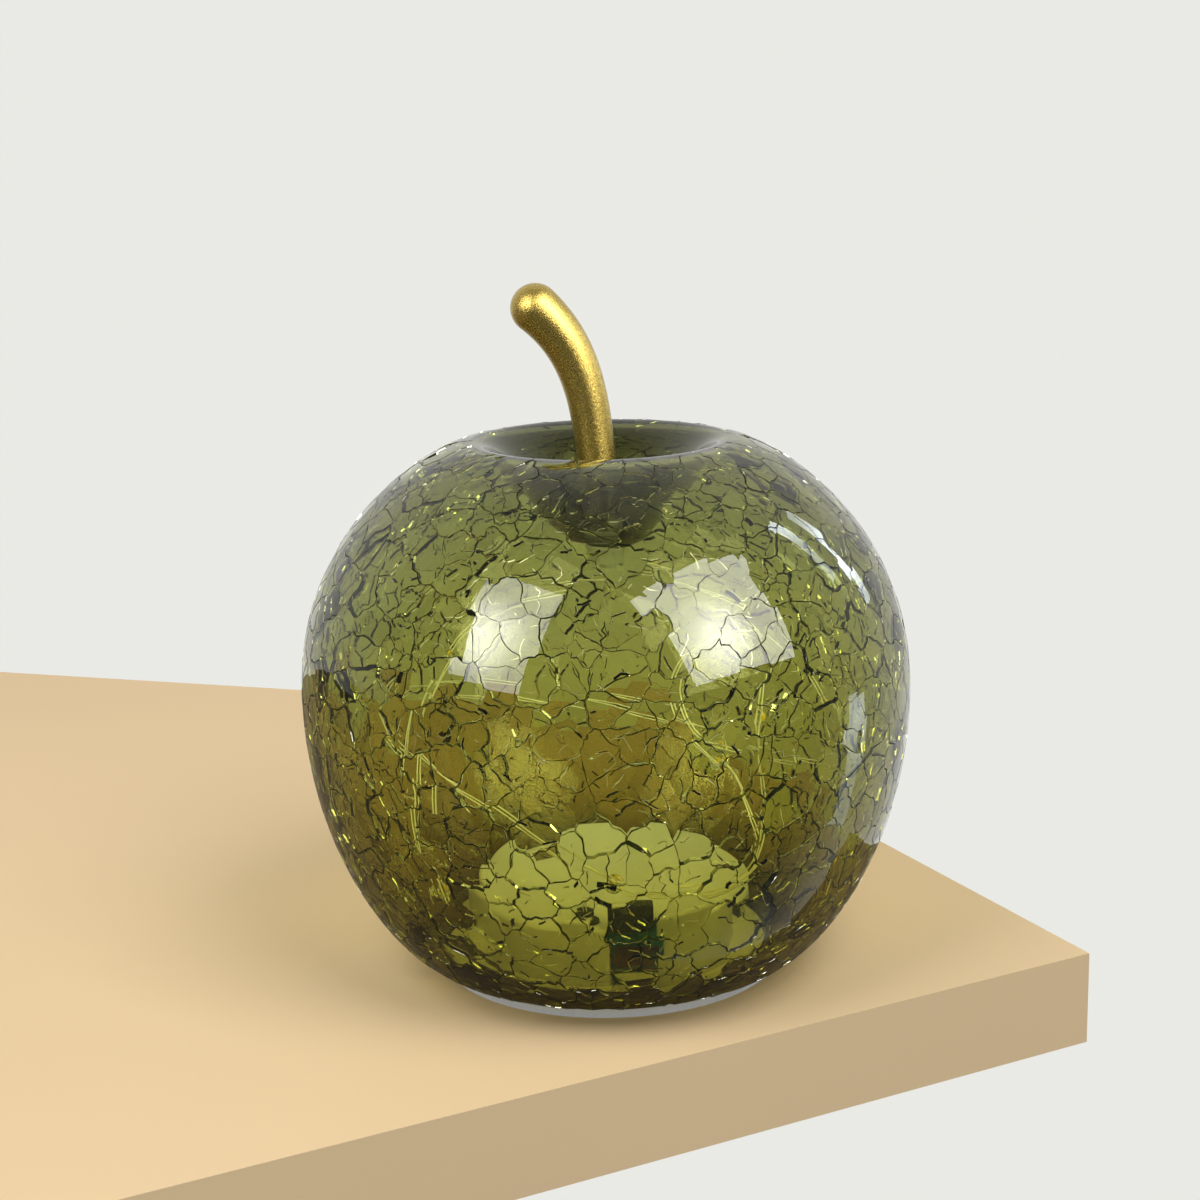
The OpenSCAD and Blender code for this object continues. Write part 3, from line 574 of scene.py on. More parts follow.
def tilted(normals, tilt):
    """Normals leant by a tilt vector, whose part along the normal is taken off."""
    return unit(normals + tilt - dot(tilt, normals) * normals)


def ring_strip(line, turn):
    """Points and normals of rows of a line of (r, z, nr, nz), turned by the given angles."""
    r, z, nr, nz = (line[:, k][:, None] for k in range(4))
    c, s = np.cos(turn)[None], np.sin(turn)[None]
    still = np.ones_like(c)
    return np.stack([r * c, r * s, z * still], -1), np.stack([nr * c, nr * s, nz * still], -1)


class GlassMesh:
    """Gathers points, faces, the normal of each corner and the tone of each face for the glass: a random
    tone on the cells and painted shade on the rings of the dimple and the foot.
    """

    def __init__(self):
        self.points, self.faces, self.normals, self.tones = [], [], [], []
        self.count = 0

    def add_points(self, points):
        """Gives the number of the first of them."""
        self.points.append(points.reshape(-1, 3))
        first = self.count
        self.count += len(self.points[-1])
        return first

    def add_faces(self, faces, normals, tones, turned=False):
        """The order of the corners is turned round for faces that look the other way."""
        order = slice(None, None, -1 if turned else 1)
        self.faces.append(faces[:, order])
        self.normals.append(normals[:, order])
        self.tones.append(tones)

    def add_rows(self, rows, before, after, turned, tones):
        """Two triangles for each place of a grid of point numbers. Each band between two rows has its
        normals before and after it and one tone."""
        a, b = rows[:-1], rows[1:]
        n = np.roll(np.arange(rows.shape[1]), -1)
        for trio, lean in (((a, b[:, n], a[:, n]), (before, after[:, n], before[:, n])),
                           ((a, b, b[:, n]), (before, after, after[:, n]))):
            self.add_faces(np.stack(trio, -1).reshape(-1, 3), np.stack(lean, 2).reshape(-1, 3, 3),
                           np.repeat(tones, rows.shape[1]), turned)


def glass_mesh(sizes, crackle, net, dimple):
    """The closed wall of the glass. Outside and inside are the net's cells, each with its own lean; the
    dimple and the foot are turned rings that start from the net's edges."""
    rng = np.random.default_rng(crackle.seed + 1)
    tone = rng.uniform(*CELL_TONES, net.cells)
    mesh = GlassMesh()
    faces, owner = net.wedges()
    calm = net.skin.away(net.points, LEAN_FADE)[faces]
    starts = []
    for depth, tilt, facing in ((0, crackle.outer_tilt, 1), (sizes.wall, crackle.inner_tilt, -1)):
        points, normals = net.skin.place(net.points, depth)
        lean = rng.normal(size=(net.cells, 3)) * tilt
        starts.append(mesh.add_points(points))
        corners = facing * tilted(normals[faces], lean[owner][:, None] * calm)
        mesh.add_faces(faces + starts[-1], corners, tone[owner], turned=facing < 0)
    for top in (True, False):
        ring, turn = net.ring(top)
        outer, inner = dimple_lines(sizes, dimple) if top else foot_lines(sizes, *net.skin.body[-1, :2])
        add_collar(mesh, ring + starts[0], ring + starts[1], turn, outer, inner, top)
    return mesh


def dimple_lines(sizes, dimple):
    """From the rim down to the hole outside, and from the hole back up inside, a wall's thickness away
    along the normals. The normals of both look out of the glass."""
    outer = dimple[::-1]
    inner = outer.copy()
    inner[:, :2] -= sizes.wall * inner[:, 2:]
    inner[-1, 0] = outer[-1, 0]
    inner[:, 2:] *= -1
    return outer, inner[::-1]


def foot_lines(sizes, radius, height):
    """From the foot's outer edge in to the mouth, and back inside."""
    mouth, inside = sizes.mouth / 2, height + sizes.wall
    outer = np.array([(radius, height, 0, -1), (mouth, height, 0, -1)])
    return outer, np.array([(mouth, inside, 0, 1), (radius, inside, 0, 1)])


def add_collar(mesh, outer_ring, inner_ring, turn, outer, inner, top):
    """Rows of rings from the outer edge of the net to its inner edge, round the hole or the mouth. Their
    tones are painted shade, darker down into the dimple and round the foot.
    """
    out_points, out_normals = ring_strip(outer, turn)
    in_points, in_normals = ring_strip(inner, turn)
    out_first, in_first = mesh.add_points(out_points[1:]), mesh.add_points(in_points[:-1])
    width = len(turn)
    new = np.arange((len(outer) - 1) * width).reshape(-1, width)
    out_rows = np.concatenate([outer_ring[None], new + out_first])
    in_rows = np.concatenate([new + in_first, inner_ring[None]])
    # Painted shade: darker rings down into the dimple and round the foot
    steps, tones = DIMPLE_PAINTED_SHADE if top else FOOT_RING_PAINTED_SHADE
    painted_shade_bands = np.interp(np.arange(len(outer) - 1), steps, tones)
    mesh.add_rows(out_rows, out_normals[:-1], out_normals[1:], top, painted_shade_bands)
    mesh.add_rows(in_rows, in_normals[:-1], in_normals[1:], top, painted_shade_bands[::-1])
    flat = np.stack([-np.cos(turn), -np.sin(turn), np.zeros(width)], 1)[None]
    mesh.add_rows(np.stack([out_rows[-1], in_rows[0]]), flat, flat, top, tones[-1:])


def ribbon_mesh(net, keep, width, depth, below, lean, rng):
    """Thin wedges along the kept cracks. At each step a wedge has two points a width apart, at the depth
    below under the surface, and one deeper point, moved sideways by the lean. Widths are multiplied by
    exp(s n), n a normal number, with one spread s from crack to crack and one from step to step, and by
    slow waves over the sphere, and are narrower at a crack's ends. Depths are multiplied by exp(s n) from
    crack to crack."""
    path = net.path[keep]
    there, normal = net.skin.place(net.points[path])
    forward = unit(np.gradient(there, axis=1))
    side = unit(np.cross(normal, forward))
    count, stations = path.shape
    ends = np.interp(np.linspace(0, 1, stations), *END_WIDTHS)[None, :, None]
    waves = np.sin(there.mean(1, keepdims=True) / MM @ np.array(SLOW_WAVES) + SLOW_PHASES)
    slow = 1 + SLOW_SHARE * waves.sum(-1, keepdims=True)
    varied = (rng.normal(size=(count, 1, 1)) * CRACK_SPREAD
              + rng.normal(size=(count, stations, 1)) * STEP_SPREAD)
    half = np.clip(np.exp(varied) * slow, *WIDTH_LIMITS) * ends * width / 2
    drop = np.clip(np.exp(rng.normal(size=(count, 1, 1)) * DEPTH_SPREAD) * depth, SHALLOWEST,
                   DEEPEST - below)
    tip = rng.normal(size=(count, 1, 1)) * lean * drop
    high = there - below * normal
    rings = np.stack([high + half * side, high - half * side, high - drop * normal + tip * side], 2)
    first = np.arange(count)[:, None] * stations * 3
    station = np.arange(stations - 1)[None] * 3 + first
    after = station + 3
    mouth, left, right = (np.stack([station + a, station + b, after + b, after + a], -1).reshape(-1, 4)
                          for a, b in ((0, 1), (1, 2), (2, 0)))
    start, end = first[:, 0], first[:, 0] + (stations - 1) * 3
    caps = [np.stack([start, start + 2, start + 1], 1), np.stack([end, end + 1, end + 2], 1)]
    return rings.reshape(-1, 3), mouth, np.concatenate([left, right]), np.concatenate(caps)


# Nodes and shader groups; a group puts out only colours, masks and values that change over the surface

def fill(tree, node, inputs):
    """Links or sets inputs of a node, given by their names or numbers: a socket is linked, a value is set,
    and a colour gets its full alpha."""
    for name, value in inputs.items():
        socket = node.inputs[name]
        if isinstance(value, bpy.types.NodeSocket):
            tree.links.new(value, socket)
        elif socket.type == "RGBA":
            socket.default_value = (*value[:3], 1)
        else:
            socket.default_value = value


def put(tree, kind, inputs=None, **settings):
    """A new node with its own settings and its inputs."""
    node = tree.nodes.new(kind)
    for name, value in settings.items():
        setattr(node, name, value)
    fill(tree, node, inputs or {})
    return node


def result(tree, operation, *values):
    """The result of one Math node."""
    return put(tree, "ShaderNodeMath", dict(enumerate(values)), operation=operation).outputs[0]


def ranged(tree, value, before, after=(0, 1), smooth=False):
    """A value taken from one range to another, straight or eased at both ends."""
    inputs = dict(zip(("Value", "From Min", "From Max", "To Min", "To Max"), (value, *before, *after)))
    kind = "SMOOTHSTEP" if smooth else "LINEAR"
    return put(tree, "ShaderNodeMapRange", inputs, interpolation_type=kind).outputs["Result"]


def mix_colour(tree, mask, low, high):
    """A colour between two colours, by a mask."""
    return put(tree, "ShaderNodeMix", {0: mask, 6: low, 7: high}, data_type="RGBA").outputs[2]


def mix_shader(tree, mask, low, high):
    """A shader between two shaders, by a mask."""
    return put(tree, "ShaderNodeMixShader", {0: mask, 1: low, 2: high}).outputs[0]


def start_group(name, inputs, outputs):
    """A shader group with inputs and outputs of the given kinds: its tree, the sockets inside that its
    inputs give, and the node inside that takes its outputs."""
    kinds = {"value": "NodeSocketFloat", "colour": "NodeSocketColor", "vector": "NodeSocketVector"}
    tree = bpy.data.node_groups.new(name, "ShaderNodeTree")
    for way, sockets in (("INPUT", inputs), ("OUTPUT", outputs)):
        for label, kind in sockets.items():
            tree.interface.new_socket(label, in_out=way, socket_type=kinds[kind])
    return tree, tree.nodes.new("NodeGroupInput").outputs, tree.nodes.new("NodeGroupOutput")


def grain_group():
    """Fine grain over a slow drift: a height for bumps, and masks for colour and roughness."""
    tree, given, end = start_group(
        "Grain", {"Vector": "vector", "Grain Scale": "value", "Drift Scale": "value", "Contrast": "value"},
        {"Height": "value", "Grain": "value", "Drift": "value"})
    fine = put(tree, "ShaderNodeTexNoise", {
        "Vector": given["Vector"], "Scale": given["Grain Scale"], "Detail": 3, "Roughness": 0.7})
    slow = put(tree, "ShaderNodeTexNoise", {
        "Vector": given["Vector"], "Scale": given["Drift Scale"], "Detail": 2})
    grain, drift = ranged(tree, fine.outputs["Fac"], (0.3, 0.7)), slow.outputs["Fac"]
    height = result(tree, "MULTIPLY_ADD", grain, given["Contrast"], drift)
    fill(tree, end, {"Height": height, "Grain": grain, "Drift": drift})
    return tree


def tone_group():
    """A colour taken darker and lighter by a mask."""
    tree, given, end = start_group(
        "Tone", {"Colour": "colour", "Mask": "value", "Darker": "value", "Lighter": "value"},
        {"Colour": "colour"})
    scale = ranged(tree, given["Mask"], (0, 1), (given["Darker"], given["Lighter"]))
    scaled = put(tree, "ShaderNodeVectorMath", {0: given["Colour"], "Scale": scale}, operation="SCALE")
    fill(tree, end, {"Colour": scaled.outputs["Vector"]})
    return tree


class Finish:
    """A material being built: its tree, its Principled shader and short ways to join them."""

    groups = {}

    def __init__(self, name, **sockets):
        self.material = bpy.data.materials.new(name)
        self.material.use_nodes = True
        self.tree = self.material.node_tree
        self.shader = self.tree.nodes["Principled BSDF"]
        self.out = self.tree.nodes["Material Output"]
        self.coords = put(self.tree, "ShaderNodeTexCoord").outputs["Object"]
        self.give(**sockets)

    def give(self, **sockets):
        """Links or sets sockets of the Principled shader."""
        fill(self.tree, self.shader, {label.replace("_", " "): value for label, value in sockets.items()})

    def axis(self, name):
        """Place of a point along an axis."""
        return put(self.tree, "ShaderNodeSeparateXYZ", {0: self.coords}).outputs[name]

    def group(self, maker, inputs):
        """The outputs of a shader group, which is made when it is first used."""
        if maker not in self.groups:
            self.groups[maker] = maker()
        return put(self.tree, "ShaderNodeGroup", inputs, node_tree=self.groups[maker]).outputs

    def grain(self, scale, drift=60, contrast=0.5):
        """Masks of fine grain and slow drift, with their scales per metre."""
        return self.group(grain_group, {"Vector": self.coords, "Grain Scale": scale, "Drift Scale": drift,
                                        "Contrast": contrast})

    def toned(self, colour, mask, darker, lighter):
        """A colour times a number that goes from darker to lighter with a mask."""
        inputs = {"Colour": colour, "Mask": mask, "Darker": darker, "Lighter": lighter}
        return self.group(tone_group, inputs)["Colour"]

    def rough(self, mask, low, high):
        """Roughness between two values, by a mask."""
        self.give(Roughness=ranged(self.tree, mask, (0, 1), (low, high)))

    def bump(self, height, most):
        """Bumps whose greatest height is given in millimetres."""
        bump = put(self.tree, "ShaderNodeBump", {"Height": height, "Distance": most * MM})
        self.give(Normal=bump.outputs["Normal"])

    def clear_where(self, mask, colour=(1, 1, 1)):
        """Lets light through, in a colour, where a mask is 1."""
        clear = put(self.tree, "ShaderNodeBsdfTransparent", {"Color": colour}).outputs[0]
        fill(self.tree, self.out, {"Surface": mix_shader(self.tree, mask, self.shader.outputs[0], clear)})

    def clear_for_shadows(self, colour):
        """Lets shadow rays through, in a colour."""
        self.clear_where(put(self.tree, "ShaderNodeLightPath").outputs["Is Shadow Ray"], colour)


# Materials. Plain finishes by name: the colour, the ranges of roughness and tone, the scale of the grain
# per metre, its height in millimetres, and sockets of the shader

LEAD = dict(rough=(0.25, 0.4), grain=1800)
MOULDED = dict(rough=(0.38, 0.52), grain=2200, height=0.02, tone=(0.95, 1.03))
FINISHES = {
    "Silicone glue": dict(colour=(0.80, 0.80, 0.76), rough=(0.4, 0.55)),
    "Clear silicone": dict(colour=(0.72, 0.74, 0.66), rough=(0.3, 0.45)),
    "Dark silicone": dict(colour=(0.035, 0.045, 0.018), rough=(0.4, 0.55)),
    "Zinc plate": dict(colour=(0.66, 0.67, 0.69), rough=(0.34, 0.5), grain=1600, Metallic=0.55),
    "Nickel plate": dict(colour=(0.70, 0.69, 0.66), rough=(0.16, 0.3), grain=1900, Metallic=1),
    "White moulding": dict(colour=(0.80, 0.79, 0.75), **MOULDED),
    "Housing moulding": dict(colour=(0.69, 0.7, 0.78), **MOULDED),
    "Potting resin": dict(colour=(0.022, 0.012, 0.007), rough=(0.3, 0.5)),
    "Black nylon": dict(colour=(0.008, 0.011, 0.011), rough=(0.18, 0.3)),
    "Tinned can": dict(colour=(0.55, 0.55, 0.57), rough=(0.25, 0.4), Metallic=1),
    "Black knob": dict(colour=(0.012, 0.012, 0.012), rough=(0.4, 0.55)),
    "Grommet rubber": dict(colour=(0.02, 0.02, 0.02), rough=(0.5, 0.7)),
    "Spring steel": dict(colour=(0.74, 0.73, 0.70), rough=(0.18, 0.3), grain=2500, Metallic=1),
    "Black lead": dict(colour=(0.02, 0.02, 0.022), **LEAD),
    "Red lead": dict(colour=(0.42, 0.02, 0.015), **LEAD),
    "Phosphor": dict(colour=(0.92, 0.68, 0.06), rough=(0.35, 0.5), grain=4000),
    "Enamelled strand": dict(colour=(1, 0.98, 0.9), rough=(0.14, 0.26), grain=3000, Metallic=0.2,
                             Coat_Weight=1, Coat_Roughness=0.08, Coat_IOR=1.8),
}

# Nodes of the frame that keep their own surfaces, by the plain finish that they wear
WORN = {
    "Silicone glue": ["glass_bond"],
    "Clear silicone": ["stem_gasket_upper"],
    "Dark silicone": ["stem_gasket_lower"],
    "Zinc plate": ["stem_stud", "stem_washer", "stem_nut", "housing_screws", "door_screw"],
    "Nickel plate": ["contact_plates"],
    "White moulding": ["base_plate", "battery_door"],
    "Housing moulding": ["housing_cover"],
    "Potting resin": ["timer_block"],
    "Black nylon": ["board_connector"],
    "Tinned can": ["switch_body"],
    "Black knob": ["switch_slider"],
    "Grommet rubber": ["wire_grommet"],
}
CELLS = ["battery_1", "battery_2", "battery_3"]


def plain(name):
    """The plain finish of that name in the list above."""
    return satin(name, **FINISHES[name])


def satin(name, colour, rough, grain=2600, height=0.01, tone=(0.93, 1.04), **sockets):
    """A finish of one colour with slow drift, fine grain and uneven gloss."""
    finish = Finish(name, **sockets)
    masks = finish.grain(grain)
    finish.give(Base_Color=finish.toned(colour, masks["Drift"], *tone))
    finish.rough(masks["Grain"], *rough)
    finish.bump(masks["Height"], height)
    return finish.material


def crackle_glass(sizes):
    """Tinted glass: each cell has its own tone, the colour warms and darkens towards the foot as painted
    shade and painted warm floor light and greys towards the rim as a painted reflection of the room, each
    between two heights in millimetres, and light passes for shadows. The face tones also hold painted
    shade in the dimple and round the foot."""
    finish = Finish("Crackle glass", Roughness=0, IOR=1.5, Transmission_Weight=1)
    tree, height = finish.tree, finish.axis("Z")
    # Painted shade at the foot: the low colour cut to part of itself
    foot = [part * kept for part, kept in zip(sizes.painted_low_shade, FOOT_PAINTED_SHADE)]
    body = sizes.painted_low_shade
    # Painted warm floor light and painted shade low down, painted reflection of the room round the rim
    for start, end, colour in ((20, 85, sizes.tint), (90, 122, sizes.top_painted_reflection)):
        body = mix_colour(tree, ranged(tree, height, (start * MM, end * MM), smooth=True), body, colour)
    # Painted shade: the darker foot colour from 4 mm up to 26 mm
    body = mix_colour(tree, ranged(tree, height, (4 * MM, 26 * MM), smooth=True), foot, body)
    # Tone of each face: random on the cells, painted shade in the dimple and round the foot
    cell = put(tree, "ShaderNodeAttribute", attribute_name="tone_and_painted_shade").outputs["Fac"]
    finish.give(Base_Color=finish.toned(body, cell, 0, 1))
    absorb = put(tree, "ShaderNodeVolumeAbsorption", {"Color": sizes.depth_tint, "Density": sizes.density})
    fill(tree, finish.out, {"Volume": absorb.outputs[0]})
    finish.clear_for_shadows((0.94, 0.94, 0.9))
    return finish.material


def crack_dark():
    """Mouths of cracks, and crack walls painted dark as a painted reflection of nothing bright."""
    finish = Finish("Crack, dark", Specular_IOR_Level=0.05)
    masks = finish.grain(700, 180)
    mask = ranged(finish.tree, masks["Drift"], (0, 1), (-0.6, 1.3))
    finish.give(Base_Color=mix_colour(finish.tree, mask, (0.004, 0.006, 0.001), (0.03, 0.036, 0.007)))
    finish.rough(masks["Grain"], 0.3, 0.5)
    return finish.material


def crack_mirror():
    """Walls of a crack: the air behind them mirrors the light, tinted by the glass."""
    finish = Finish("Crack, mirror", Metallic=1)
    masks = finish.grain(900, 260)
    finish.give(Base_Color=finish.toned((0.97, 0.97, 0.82), masks["Drift"], 0.85, 1.03))
    finish.rough(masks["Grain"], 0.04, 0.14)
    return finish.material


def gold_paint(colour):
    """Metallic paint: bright flakes over a darker gold, satin, with a fine orange peel."""
    finish = Finish("Gold paint", Metallic=0.92, Coat_Weight=0.1, Coat_Roughness=0.3)
    masks = finish.grain(3000, 45, 0.9)
    flakes = finish.toned(colour, masks["Grain"], 0.55, 1.3)
    finish.give(Base_Color=finish.toned(flakes, masks["Drift"], 0.88, 1.1))
    finish.rough(masks["Grain"], 0.32, 0.2)
    finish.bump(masks["Height"], 0.045)
    return finish.material


def cell_sleeve(end):
    """Shrink sleeve along a cell: a dark grey body and a paler band, 11 mm long, at the end given."""
    finish = Finish("Cell sleeve")
    masks = finish.grain(1500)
    band = result(finish.tree, "GREATER_THAN", finish.axis("X"), end - 11 * MM)
    dark = finish.toned((0.06, 0.065, 0.07), masks["Drift"], 0.85, 1.1)
    finish.give(Base_Color=mix_colour(finish.tree, band, dark, (0.72, 0.42, 0.12)))
    finish.rough(masks["Grain"], 0.22, 0.34)
    finish.bump(masks["Height"], 0.01)
    return finish.material


def drop_resin():
    """Clear resin: smooth, nearly without colour, and light passes for shadows."""
    finish = Finish("Droplet resin", Roughness=0.03, IOR=1.45, Transmission_Weight=1)
    masks = finish.grain(500, 200)
    finish.give(Base_Color=finish.toned((0.97, 0.97, 0.9), masks["Drift"], 0.94, 1.02))
    finish.clear_for_shadows((0.95, 0.95, 0.92))
    return finish.material


def foam():
    """Closed-cell foam: small round pores in a matt white."""
    finish = Finish("White foam")
    cells = put(finish.tree, "ShaderNodeTexVoronoi", {"Vector": finish.coords, "Scale": 2400})
    pores = cells.outputs["Distance"]
    finish.give(Base_Color=finish.toned((0.80, 0.80, 0.79), pores, 1.04, 0.88))
    finish.rough(pores, 0.7, 0.9)
    finish.bump(pores, -0.06)
    return finish.material


def solder_mask():
    """Teal solder mask over a copper ground, with faint traces that run up the board."""
    finish = Finish("Solder mask", Coat_Weight=0.5, Coat_Roughness=0.15)
    masks = finish.grain(900)
    wave = put(finish.tree, "ShaderNodeTexWave",
               {"Vector": finish.coords, "Scale": 210, "Distortion": 1.5},
               wave_type="BANDS", bands_direction="X")
    traces = ranged(finish.tree, wave.outputs["Fac"], (0.55, 0.75), smooth=True)
    base = mix_colour(finish.tree, traces, (0, 0.10, 0.15), (0, 0.13, 0.19))
    finish.give(Base_Color=finish.toned(base, masks["Drift"], 0.85, 1.15))
    finish.rough(masks["Grain"], 0.2, 0.3)
    finish.bump(traces, 0.03)
    return finish.material


# Operators, one for each piece or group

class APPLE_OT_glass(bpy.types.Operator):
    """Crackled glass wall with its cracks"""
    bl_idname = "apple.glass"
    bl_label = "Crackle glass"

    def execute(self, context):
        sizes, crackle = context.scene.apple_glass, context.scene.apple_crackle
        rng = np.random.default_rng(crackle.seed)
        dimple, body = apple_line(sizes)
        skin = Skin(body)
        net = CrackNet(skin, crackle.cell, crackle.jitter, steps=5, rag=0.055, rng=rng)
        mesh = glass_mesh(sizes, crackle, net, dimple)
        glass = make_piece("glass_wall", np.concatenate(mesh.points), [np.concatenate(mesh.faces)],
                           [crackle_glass(sizes)])
        # Tones of the faces, with painted shade in the dimple and round the foot
        tone = glass.data.attributes.new("tone_and_painted_shade", "FLOAT", "FACE")
        tone.data.foreach_set("value", np.concatenate(mesh.tones).astype(np.float32))
        glass.data.normals_split_custom_set(np.concatenate(mesh.normals).reshape(-1, 3))
        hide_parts("glass_shell")
        self.materials = [crack_dark(), crack_mirror()]
        self.cracks("cracks", net, rng, share=0.95, bright=0.7, mouths=0, width=crackle.width,
                    depth=crackle.depth, below=-0.015 * MM, lean=0.2)
        fine = CrackNet(skin, crackle.hair_cell, jitter=0.3, steps=2, rag=0.12, rng=rng)
        self.cracks("hair_cracks", fine, rng, share=crackle.hair_share, bright=1, mouths=1,
                    width=crackle.width * 0.24, depth=crackle.depth * 0.7, below=0.5 * MM, lean=0.28)
        return {"FINISHED"}

    def cracks(self, name, net, rng, share, bright, mouths, **sizes):
        """Wedges for a random share of the net's cracks. A bright share of their walls mirrors and the
        others are dark; mouths is the place of the material of their mouths and ends."""
        keep = ~net.on_edge & (rng.random(len(net.i)) < share)
        points, mouth, walls, caps = ribbon_mesh(net, keep, rng=rng, **sizes)
        shining = rng.random(len(walls)) < bright
        piece = make_piece(name, points, [mouth, walls[~shining], walls[shining], caps], self.materials,
                           smooth=False, slots=[mouths, 0, 1, mouths])


class APPLE_OT_stem(bpy.types.Operator):
    """Curved gold stem with a rounded head and a bore for its stud"""
    bl_idname = "apple.stem"
    bl_label = "Stem"

    def execute(self, context):
        """Rings along a cubic curve and over a round head: their radius grows from foot to head with a
        power of the way. Before them come the rings of the bore, with a little play round the stud and
        some spare room above it, and those of the foot's small lip."""
        sizes = context.scene.apple_stem
        steps, cap_steps, sides, growth = 90, 22, 64, 2.3
        lower_handle, upper_handle = 0.48 * sizes.rise, 0.34 * sizes.rise
        lip, play, spare = 0.25 * MM, 0.05 * MM, 0.3 * MM
        lean = np.array([-math.sin(sizes.head_angle), 0, math.cos(sizes.head_angle)])
        foot = np.array([0, 0, STEM_FOOT])
        head = foot + np.array([-sizes.reach, 0, sizes.rise])
        line = bezier([foot, foot + np.array([-sizes.bow, 0, lower_handle]), head - upper_handle * lean,
                       head], steps)
        thick = sizes.foot / 2 + (sizes.head - sizes.foot) / 2 * np.linspace(0, 1, steps) ** growth
        turn = np.linspace(0, math.pi / 2, cap_steps)[1:]
        cap = head + sizes.head / 2 * np.sin(turn)[:, None] * lean
        radii = np.concatenate([thick, np.maximum(sizes.head / 2 * np.cos(turn), POLE)])
        rings = carry(np.concatenate([line, cap]), radii, sides, (1, 0, 0))
        bore, top = (STUD_HIGH.x - STUD_LOW.x) / 2 + play, STUD_HIGH.z + spare
        level = ((POLE, top), (bore, top), (bore, STEM_FOOT), (sizes.foot / 2 - lip, STEM_FOOT),
                 (sizes.foot / 2, STEM_FOOT + lip))
        c, s = circle(sides)
        flat = np.array([np.stack([radius * c, radius * s, np.full(sides, z)], 1) for radius, z in level])
        points, faces = closed_rings(np.concatenate([flat, rings[2:]]))
        stem = make_piece("gold_stem", points, faces, [gold_paint(sizes.gold)])
        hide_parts("stem")
        return {"FINISHED"}


class APPLE_OT_lights(bpy.types.Operator):
    """Pair of thin light wires with clear droplets and their chips"""
    bl_idname = "apple.lights"
    bl_label = "Fairy lights"

    def execute(self, context):
        """The strands lie on both sides of the route. They turn round it evenly by the twist, and a sine
        wave along the way makes the turns uneven."""
        sizes = context.scene.apple_wire
        station, unevenness, wave = 1.2 * MM, 0.8, 23 * MM
        route = four_point(np.array(WIRE_ROUTE) * MM, rounds=4)
        whole = way_along(route)[-1]
        path = at_way(route, np.linspace(0, whole, int(whole / station)))[0]
        run = way_along(path)
        turn = 2 * math.pi * run / sizes.twist + unevenness * np.sin(run / wave)
        apart = (sizes.pair - sizes.strand) / 2
        points, faces = joined([tube(path, sizes.strand / 2, sides=8, aside=apart, turn=turn + half)
                                for half in (0, math.pi)])
        wire = make_piece("light_wires", points, faces, [plain("Enamelled strand")])
        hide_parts("fairy_wire")
        points, faces = self.beads(path, sizes, steps=21, sides=24, long=sizes.drop_length,
                                   wide=sizes.drop_width, power=0.75)
        drops = make_piece("clear_droplets", points, faces, [drop_resin()])
        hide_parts("light_drops")
        points, faces = self.beads(path, sizes, steps=9, sides=12, long=1.6 * MM, wide=1 * MM, power=0.25,
                                   aside=0.85 * MM)
        chips = make_piece("light_chip_domes", points, faces, [plain("Phosphor")])
        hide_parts("light_chips")
        return {"FINISHED"}

    def beads(self, path, sizes, steps, sides, long, wide, power, aside=0.0):
        """One bead at each light, turned round a line along the wire or aside from it: its radius is half
        its width times sin(pi t) to a power, t from end to end. A small power makes a rounded block."""
        t = np.linspace(0, 1, steps)
        parts = []
        for way in sizes.first_light + sizes.pitch * np.arange(sizes.lights):
            middle, heading = (rows[0] for rows in at_way(path, [way]))
            line = middle + (t - 0.5)[:, None] * long * heading
            parts.append(tube(line, wide / 2 * np.sin(math.pi * t) ** power, sides, (0.3, 0.2, 1), aside))
        return joined(parts)


class APPLE_OT_inner(bpy.types.Operator):
    """Springs, leads and the finishes of the pieces that the frame gives"""
    bl_idname = "apple.inner"
    bl_label = "Base and fastening"

    def execute(self, context):
        self.springs()
        self.leads()
        for name, nodes in WORN.items():
            self.dress(nodes, plain(name))
        self.dress(["foot_ring"], foam())
        self.dress(CELLS, cell_sleeve(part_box("battery_1")[1].x))
        self.dress(["control_board"], solder_mask())
        return {"FINISHED"}

    def dress(self, nodes, material):
        """Gives nodes of the frame a material."""
        for node in nodes:
            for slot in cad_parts[node].material_slots:
                slot.material = material

    def springs(self):
        """Tapering coils: at the share t of its way a coil's wire lies wide + (narrow - wide) t from its
        cell's axis and wire + (high - 2 wire) t along it, turned by 360 degrees times the curls times t."""
        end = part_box("battery_springs")[1].x
        wire, curls, curl_steps = 0.25 * MM, 4, 28
        wide, narrow, high = 3.57 * MM, 2.415 * MM, 5.9 * MM
        t = np.linspace(0, 1, curls * curl_steps)
        r = wide + (narrow - wide) * t
        a = 2 * math.pi * curls * t
        up = wire + (high - 2 * wire) * t
        parts = []
        for near, far in map(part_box, CELLS):
            side = 1 if near.x + far.x > 0 else -1
            path = np.stack([side * (up - end), (near.y + far.y) / 2 + side * r * np.sin(a),
                             (near.z + far.z) / 2 - r * np.cos(a)], 1)
            parts.append(tube(path, wire, sides=10))
        points, faces = joined(parts)
        piece = make_piece("contact_coils", points, faces, [plain("Spring steel")])
        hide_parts("battery_springs")

    def leads(self):
        """Both leads: round insulation along the smoothed routes of the frame, one black and one red."""
        points, faces = joined([tube(four_point(np.array(route) * MM, rounds=3), 0.55 * MM, sides=16)
                                for route in LEAD_ROUTES])
        piece = make_piece("lead_pair", points, faces, [plain("Black lead"), plain("Red lead")],
                           slots=[0, 1] * 2)
        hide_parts("battery_leads")


